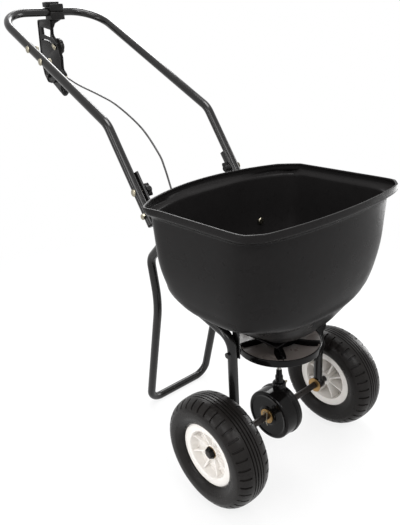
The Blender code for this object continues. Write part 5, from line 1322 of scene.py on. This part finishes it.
def fine_control():
    under = CROSSBAR.z - CLAMP_HALF_HEIGHT
    top_of_plate = under + 0.004
    outline = smooth_corners([
        (0.890, top_of_plate), (0.970, top_of_plate), (CONTROL_REAR_Y, 0.938), (0.972, 0.901),
        (0.956, 0.879), (0.932, 0.876), (0.905, 0.888), (0.852, 0.888), (0.846, 0.903), (0.862, 0.918),
        (0.858, 0.952), (0.870, 0.990), (0.896, 1.016),
    ], 0.010, 8)
    window = smooth_corners(WINDOW, 0.003, 5)
    centre = PIVOT.yz
    slot = band(centre, SLOT_RADIUS, SLOT_SEEN, SLOT_START, STOP_ANGLE + radians(3), 32)
    sheet = plate("YZ", outline, 0.0012, CONTROL_THICKNESS - 0.0012, [window, slot])
    pieces = []
    rib = band(centre, SLOT_RADIUS - 0.0062, 0.0022, SLOT_START - radians(1), STOP_ANGLE + radians(2), 32)
    pieces.append(plate("YZ", rib, 0.0004, CONTROL_THICKNESS - 0.0004))
    edge = [Vector((0.0, y, z)) for y, z in outline]
    middle = Vector((0, sum(p.y for p in edge) / len(edge), sum(p.z for p in edge) / len(edge)))
    inner = [(p.y + (middle.y - p.y) * 0.055, p.z + (middle.z - p.z) * 0.035) for p in edge]
    frame_piece = plate("YZ", outline, 0.0, CONTROL_THICKNESS, [inner])
    pieces.append(softened(frame_piece, 0.0009))
    jaw = block((CLAMP_INSET, CROSSBAR.y - CLAMP_HALF_DEPTH, under),
                (CLAMP_WIDTH, CROSSBAR.y + CLAMP_HALF_DEPTH, CROSSBAR.z - GAP / 2))
    jaw = cut(softened(jaw, 0.0022, 4), crossbar_cutter())
    gusset = plate("XZ", [
        (0.002, under + 0.001), (CLAMP_WIDTH - 0.004, under + 0.001), (CLAMP_WIDTH * 0.40, under - 0.010),
        (CONTROL_THICKNESS + 0.002, under - 0.021), (0.002, under - 0.024),
    ], CROSSBAR.y - 0.004, CROSSBAR.y + 0.001)
    pieces += [jaw, softened(gusset, 0.0008)]
    dress(merged(softened(sheet, 0.0005, 2), *pieces), BLACK_PLASTIC, "handle_bar", "control_plate")
    cap = block((CLAMP_INSET, CROSSBAR.y - CLAMP_HALF_DEPTH, CROSSBAR.z + GAP / 2),
                (CLAMP_WIDTH, CROSSBAR.y + CLAMP_HALF_DEPTH, CROSSBAR.z + CLAMP_HALF_HEIGHT))
    cap = cut(softened(cap, 0.0035, 4), crossbar_cutter())
    ridge = block((-0.008, CROSSBAR.y - 0.012, CROSSBAR.z + CLAMP_HALF_HEIGHT - 0.008),
                  (RIDGE_WIDTH - 0.008, CROSSBAR.y + 0.012,
                   CROSSBAR.z + CLAMP_HALF_HEIGHT + RIDGE_HEIGHT))
    dress(merged(cap, softened(ridge, 0.0022, 4)), BLACK_PLASTIC, "handle_bar", "clamp_cap")
    screw_y = CROSSBAR.y + CLAMP_HALF_DEPTH - 0.0045
    head_z = under - GAP
    half = FERRULE_LENGTH / 2
    upper = fine_ferrule(CABLE_TOP - CABLE_TOP_HEADING * half, CABLE_TOP + CABLE_TOP_HEADING * half)
    dress(upper, ZINC, "handle_bar", "cable_ferrule_upper")
    lower = fine_ferrule(Vector((0, CABLE_TAB_MIDDLE - half, CABLE_LOW_Z)),
                         Vector((0, CABLE_TAB_MIDDLE + half, CABLE_LOW_Z)))
    dress(lower, ZINC, "frame", "cable_ferrule_lower")
    screw_piece = turned(eased([
        (0, 0.030), (0.0019, 0.030), (0.0019, 0.0030), (0.0040, 0.0030), (0.0040, 0.0004),
        (0.0030, 0.0012), (0.0012, 0.0012), (0.0012, 0.0), (0, 0.0),
    ], 0.0003, 2), (CLAMP_WIDTH / 2, screw_y, head_z - 0.003), "Z", 32)
    dress(screw_piece, ZINC, "handle_bar", "clamp_screw")


def fine_ferrule(start, end):
    length = (end - start).length
    bore, groove = CABLE_RADIUS + 0.0002, FERRULE_RADIUS - 0.0006
    profile = [(bore, 0), (groove, 0), (FERRULE_RADIUS, 0.0008)]
    for k in range(3):
        at = length * (0.30 + 0.2 * k)
        profile += [(FERRULE_RADIUS, at - 0.0012), (groove, at), (FERRULE_RADIUS, at + 0.0012)]
    profile += [(FERRULE_RADIUS, length - 0.0008), (groove, length), (bore, length)]
    return aimed(turned(profile, ORIGIN, "Z", 40, ring=True), start, (end - start).normalized())


def fine_lever():
    low = CONTROL_THICKNESS + GAP
    high = low + LEVER_THICKNESS
    centre = PIVOT.yz
    end = (LEVER_END_Y, LEVER_END_Z)
    tip = (PIVOT.y + LEVER_ARM_LENGTH * cos(LEVER_ARM_ANGLE),
           PIVOT.z + LEVER_ARM_LENGTH * sin(LEVER_ARM_ANGLE))
    pieces = []
    for outline, lift, width in (
        (hull_of_two(centre, LEVER_HUB_RADIUS, end, LEVER_END_RADIUS, 24), high, 0.0011),
        (hull_of_two(centre, 0.012, tip, 0.007, 20), high - 0.0002, 0.0009),
        (circle(end, LEVER_END_RADIUS - 0.004, 48), high + 0.005, 0.0018),
        (circle(centre, LEVER_HUB_RADIUS - 0.003, 40), high + 0.0001, 0.0004),
    ):
        pieces.append(softened(plate("YZ", outline, low, lift), width))
    dress(merged(*pieces), BLACK_PLASTIC, "lever", "flow_lever")
    bolt = fine_bolt((-GAP, PIVOT.y, PIVOT.z), (high + GAP, PIVOT.y, PIVOT.z))
    dress(bolt, BLACK_PAINT, "handle_bar", "lever_bolt")


def fine_stop():
    centre = PIVOT.yz
    stop = (PIVOT.y + SLOT_RADIUS * cos(STOP_ANGLE), PIVOT.z + SLOT_RADIUS * sin(STOP_ANGLE))
    washer = -GAP - STOP_WASHER
    outline = band(centre, SLOT_RADIUS, 0.012, STOP_ANGLE - radians(3), STOP_ANGLE + radians(3), 12)
    slider = plate("YZ", outline, washer, -GAP)
    head = turned(eased([
        (0, 0.0032), (0.0030, 0.0030), (0.0046, 0.0014), (0.0046, 0), (0, 0),
    ], 0.0007, 3), (washer + 0.0006, *stop), "-X", 40)
    face = CONTROL_THICKNESS + GAP
    socket = STOP_KNOB_LENGTH * 0.7
    neck = rod((-0.002, *stop), (face + 0.001, *stop), SLOT_SEEN / 2 - GAP, 20)
    stud = rod((face, *stop), (CONTROL_THICKNESS + socket, *stop), STUD_RADIUS, 24)
    dress(merged(softened(slider, 0.0004, 2), head, neck, stud), ZINC, "stop", "stop_slider")
    columns = []
    steps = KNOB_LOBES * 12
    for i in range(steps):
        turn = 2 * pi * i / steps
        scallop = 1 - KNOB_SCALLOP * (0.5 - 0.5 * cos(KNOB_LOBES * turn)) ** 3
        rows = [(r * STOP_KNOB_RADIUS * (scallop if lobed else 1), t) for r, t, lobed in KNOB_PROFILE]
        rows += [(STUD_RADIUS + GAP, 0.0), (STUD_RADIUS + GAP, socket), (0, socket)]
        columns.append([Vector((face + height, stop[0] + reach * cos(turn), stop[1] + reach * sin(turn)))
                        for reach, height in rows])
    dress(grid(columns, closed_rows=False), BLACK_PLASTIC, "stop_grip", "stop_knob")


# Cable

def fine_cable():
    half = FERRULE_LENGTH / 2
    start = CABLE_TOP + CABLE_TOP_HEADING * (half - 0.004)
    leaving = CABLE_TOP + CABLE_TOP_HEADING * (half + 0.02)
    end = Vector((0, CABLE_TAB_MIDDLE + half - 0.004, CABLE_LOW_Z))
    route = [start, leaving, *CABLE_ROUTE, end + Vector((0, 0.034, 0.001)), end]
    cable = pipe(smooth_route(route, 0.005), CABLE_RADIUS, 20)
    fold_low = (0, FOLD_Y + CENTRE_SHIFT - 0.02, FOLD_Z - 0.05)
    fold_high = (0, FOLD_Y + CENTRE_SHIFT + 0.10, FOLD_Z + 0.12)
    dress(cable, CABLE_BLACK, ("frame", "handle_bar", fold_low, fold_high), "control_cable")


# Materials

def linear(value):
    value /= 255
    return value / 12.92 if value <= 0.04045 else ((value + 0.055) / 1.055) ** 2.4


def feed(tree, made, inputs):
    """Set a node's inputs to their values, or link them to the outputs handed in."""
    for socket, value in inputs.items():
        if isinstance(value, bpy.types.NodeSocket):
            tree.links.new(value, made.inputs[socket])
        else:
            made.inputs[socket].default_value = value


def node(tree, kind, inputs=None, **settings):
    """A new shader node with its settings and inputs."""
    made = tree.nodes.new("ShaderNode" + kind)
    for name, value in settings.items():
        setattr(made, name, value)
    feed(tree, made, inputs or {})
    return made


def material(slot_name, colour, roughness, metallic=0.0, *, fleck, grain, fleck_scale=60.0,
             bump=0.0006, uneven=0.06, specular=0.5, wear=None):
    """A surface whose colour, roughness and fine relief vary, from object coordinates."""
    made = bpy.data.materials.new("look_" + slot_name)
    made.use_nodes = True
    made["slot"] = slot_name
    tree = made.node_tree
    place = node(tree, "TexCoord").outputs["Object"]

    def noise(scale, detail, rough=0.5):
        return node(tree, "TexNoise", {
            "Vector": place, "Scale": scale, "Detail": detail, "Roughness": rough,
        }).outputs["Fac"]

    def spread(source, low, high, start=0.3, end=0.7):
        return node(tree, "MapRange", {
            "Value": source, "From Min": start, "From Max": end, "To Min": low, "To Max": high,
        }).outputs["Result"]

    def mixed(share, first, second):
        return node(tree, "Mix", {0: share, 6: first, 7: second}, data_type="RGBA").outputs[2]

    base = [linear(value) for value in colour]
    dark = (*[value * (1 - fleck) for value in base], 1)
    light = (*[value * (1 + fleck) for value in base], 1)
    seen = mixed(spread(noise(fleck_scale, 4, 0.6), 0, 1), dark, light)
    if wear:
        worn = (*[linear(value) for value in wear], 1)
        seen = mixed(spread(noise(fleck_scale * 0.21, 6, 0.7), 0, 0.5, 0.60, 0.82), seen, worn)
    relief = node(tree, "Bump", {"Strength": 0.35, "Distance": bump, "Height": noise(grain, 3, 0.55)})
    feed(tree, tree.nodes["Principled BSDF"], {
        "Base Color": seen, "Metallic": metallic, "Specular IOR Level": specular,
        "Roughness": spread(noise(fleck_scale * 0.5, 3), roughness - uneven, roughness + uneven),
        "Normal": relief.outputs["Normal"],
    })
    return made


# Room: floor, lights and camera

def stage_floor():
    """A pale floor that keeps the object's shadow near it and fades to plain white further out."""
    mesh = bpy.data.meshes.new("floor")
    work = bmesh.new()
    bmesh.ops.create_circle(work, cap_ends=True, segments=96, radius=60)
    work.to_mesh(mesh)
    work.free()
    floor = bpy.data.objects.new("floor", mesh)
    bpy.context.scene.collection.objects.link(floor)
    made = bpy.data.materials.new("pale_floor")
    made.use_nodes = True
    tree = made.node_tree
    tree.nodes.clear()
    plain = node(tree, "BsdfDiffuse", {"Color": (0.80, 0.80, 0.80, 1)})
    bright = node(tree, "Emission", {"Color": (1, 1, 1, 1), "Strength": 1.0})
    path = node(tree, "LightPath").outputs
    place = node(tree, "TexCoord")
    reach = node(tree, "VectorMath", {0: place.outputs["Object"]}, operation="LENGTH")
    fade = node(tree, "MapRange", {
        "Value": reach.outputs["Value"], "From Min": 0.5, "From Max": 1.5, "To Min": 0.80, "To Max": 1.0,
    }, interpolation_type="SMOOTHSTEP")

    def combined(operation, first, second):
        return node(tree, "Math", {0: first, 1: second}, operation=operation).outputs[0]

    through = combined("MAXIMUM", path["Is Glossy Ray"], path["Is Transmission Ray"])
    seen = combined("MAXIMUM", path["Is Camera Ray"], through)
    share = combined("MULTIPLY", seen, fade.outputs["Result"])
    mix = node(tree, "MixShader", {0: share, 1: plain.outputs[0], 2: bright.outputs[0]})
    node(tree, "OutputMaterial", {"Surface": mix.outputs[0]})
    mesh.materials.append(made)


def surroundings(level, seen_level, shine_level):
    """White to the camera, and plain grey light on the object and in its reflections."""
    world = bpy.data.worlds.new("studio")
    bpy.context.scene.world = world
    world.use_nodes = True
    tree = world.node_tree
    tree.nodes.clear()
    path = node(tree, "LightPath").outputs
    total = level
    for ray, strength in (("Is Camera Ray", seen_level - level), ("Is Glossy Ray", shine_level - level),
                          ("Is Transmission Ray", seen_level - level)):
        added = node(tree, "Math", {0: path[ray], 1: strength, 2: total}, operation="MULTIPLY_ADD")
        total = added.outputs[0]
    light = node(tree, "Background", {"Color": (1, 1, 1, 1), "Strength": total})
    node(tree, "OutputWorld", {"Surface": light.outputs[0]})


def soft_box(name, place, target, width, height, power):
    light = bpy.data.lights.new(name, "AREA")
    light.shape = "RECTANGLE"
    light.size, light.size_y = width, height
    light.energy = power
    obj = bpy.data.objects.new(name, light)
    obj.location = Vector(place) + Vector((0, CENTRE_SHIFT, 0))
    aim = Vector(target) - Vector(place)
    obj.rotation_euler = aim.to_track_quat("-Z", "Y").to_euler()
    bpy.context.scene.collection.objects.link(obj)


def camera():
    data = bpy.data.cameras.new("camera")
    data.sensor_width = SENSOR
    data.lens = FOCAL_PIXELS / PHOTO_HEIGHT * SENSOR
    data.clip_start, data.clip_end = 0.05, 100
    obj = bpy.data.objects.new("camera", data)
    turn = Matrix((CAMERA_RIGHT, CAMERA_UP, -CAMERA_FORWARD)).transposed().to_4x4()
    obj.matrix_world = Matrix.Translation(CAMERA_PLACE + Vector((0, CENTRE_SHIFT, 0))) @ turn
    bpy.context.scene.collection.objects.link(obj)
    bpy.context.scene.camera = obj


bpy.context.scene.view_settings.view_transform = "Standard"
camera()
stage_floor()
surroundings(0.85, 1.0, 1.0)
for lamp in (
    ("key", (-1.5, -0.7, 2.0), (0, 0.1, 0.4), 0.9, 0.9, 16),
    ("top", (0.15, 0.1, 2.5), (0, 0.1, 0.4), 0.9, 1.1, 34),
    ("side", (2.0, -0.1, 0.7), (0, 0.1, 0.45), 0.6, 1.4, 24),
    ("front", (-0.1, -1.9, 2.2), (0, 0.2, 0.5), 0.5, 0.5, 16),
    ("left", (-2.2, 0.7, 1.1), (0, 0.3, 0.6), 0.3, 1.7, 12),
    ("back", (1.2, 2.0, 1.9), (0, 0.3, 0.6), 1.2, 1.0, 30),
):
    soft_box(*lamp)

HOPPER_PLASTIC = material("hopper_plastic", (25, 24, 24), 0.31, fleck=0.05, grain=1400, bump=0.0002,
                          specular=0.06)
BLACK_PLASTIC = material("black_plastic", (16, 15, 15), 0.30, fleck=0.10, grain=1500, specular=0.15)
GLOSS_BLACK = material("gloss_black", (10, 9, 9), 0.12, fleck=0.10, grain=300, bump=0.0002,
                       uneven=0.04, specular=0.14)
# Light grey for the impeller's top ring: a painted reflection of the bright room on glossy black plastic.
PAINTED_REFLECTION_GREY = material("gloss_black", (88, 82, 79), 0.30, fleck=0.08, grain=500, bump=0.0002,
                       specular=0.4)
BLACK_PAINT = material("black_paint", (15, 14, 14), 0.22, fleck=0.10, grain=300, bump=0.00006,
                       specular=0.34)
RUBBER = material("tyre_rubber", (25, 23, 22), 0.30, fleck=0.14, grain=1600, bump=0.0004, specular=0.13)
WHITE_PLASTIC = material("white_plastic", (228, 224, 219), 0.36, fleck=0.02, grain=600, bump=0.0003)
ZINC = material("zinc", (150, 144, 128), 0.34, 1.0, fleck=0.10, fleck_scale=240, grain=1400, bump=0.0003)
BRASS = material("brass", (158, 128, 84), 0.34, 1.0, fleck=0.14, fleck_scale=200, grain=1200, bump=0.0003,
                 wear=(96, 70, 44))
STEEL = material("steel", (160, 158, 154), 0.32, 1.0, fleck=0.10, fleck_scale=200, grain=1500,
                 bump=0.0003)
AXLE_STEEL = material("axle_steel", (44, 40, 38), 0.32, 0.6, fleck=0.20, fleck_scale=120, grain=900,
                      bump=0.0003, wear=(120, 92, 60))
CABLE_BLACK = material("cable_black", (30, 29, 29), 0.42, fleck=0.08, grain=900, bump=0.0002)

LOOKS = {look["slot"]: look for look in (
    HOPPER_PLASTIC, BLACK_PLASTIC, GLOSS_BLACK, BLACK_PAINT, RUBBER, WHITE_PLASTIC, ZINC, BRASS, STEEL,
    AXLE_STEEL, CABLE_BLACK,
)}
for entry in frame["record"]["subparts"]:
    node = frame["nodes"][entry["node"]]
    node.data.materials.clear()
    node.data.materials.append(LOOKS[entry["material_slot"]])

PARTS = bpy.context.scene.collection
fine_wheel(-1, "drive", "drive_axle")
fine_wheel(1, "free", "free_wheel")
axle_ends()
fine_frame()
fine_stand()
fine_handle()
fine_fold_joint()
fine_hopper()
fine_deflector()
fine_brackets()
fine_impeller()
fine_gearbox()
fine_control()
fine_lever()
fine_stop()
fine_cable()
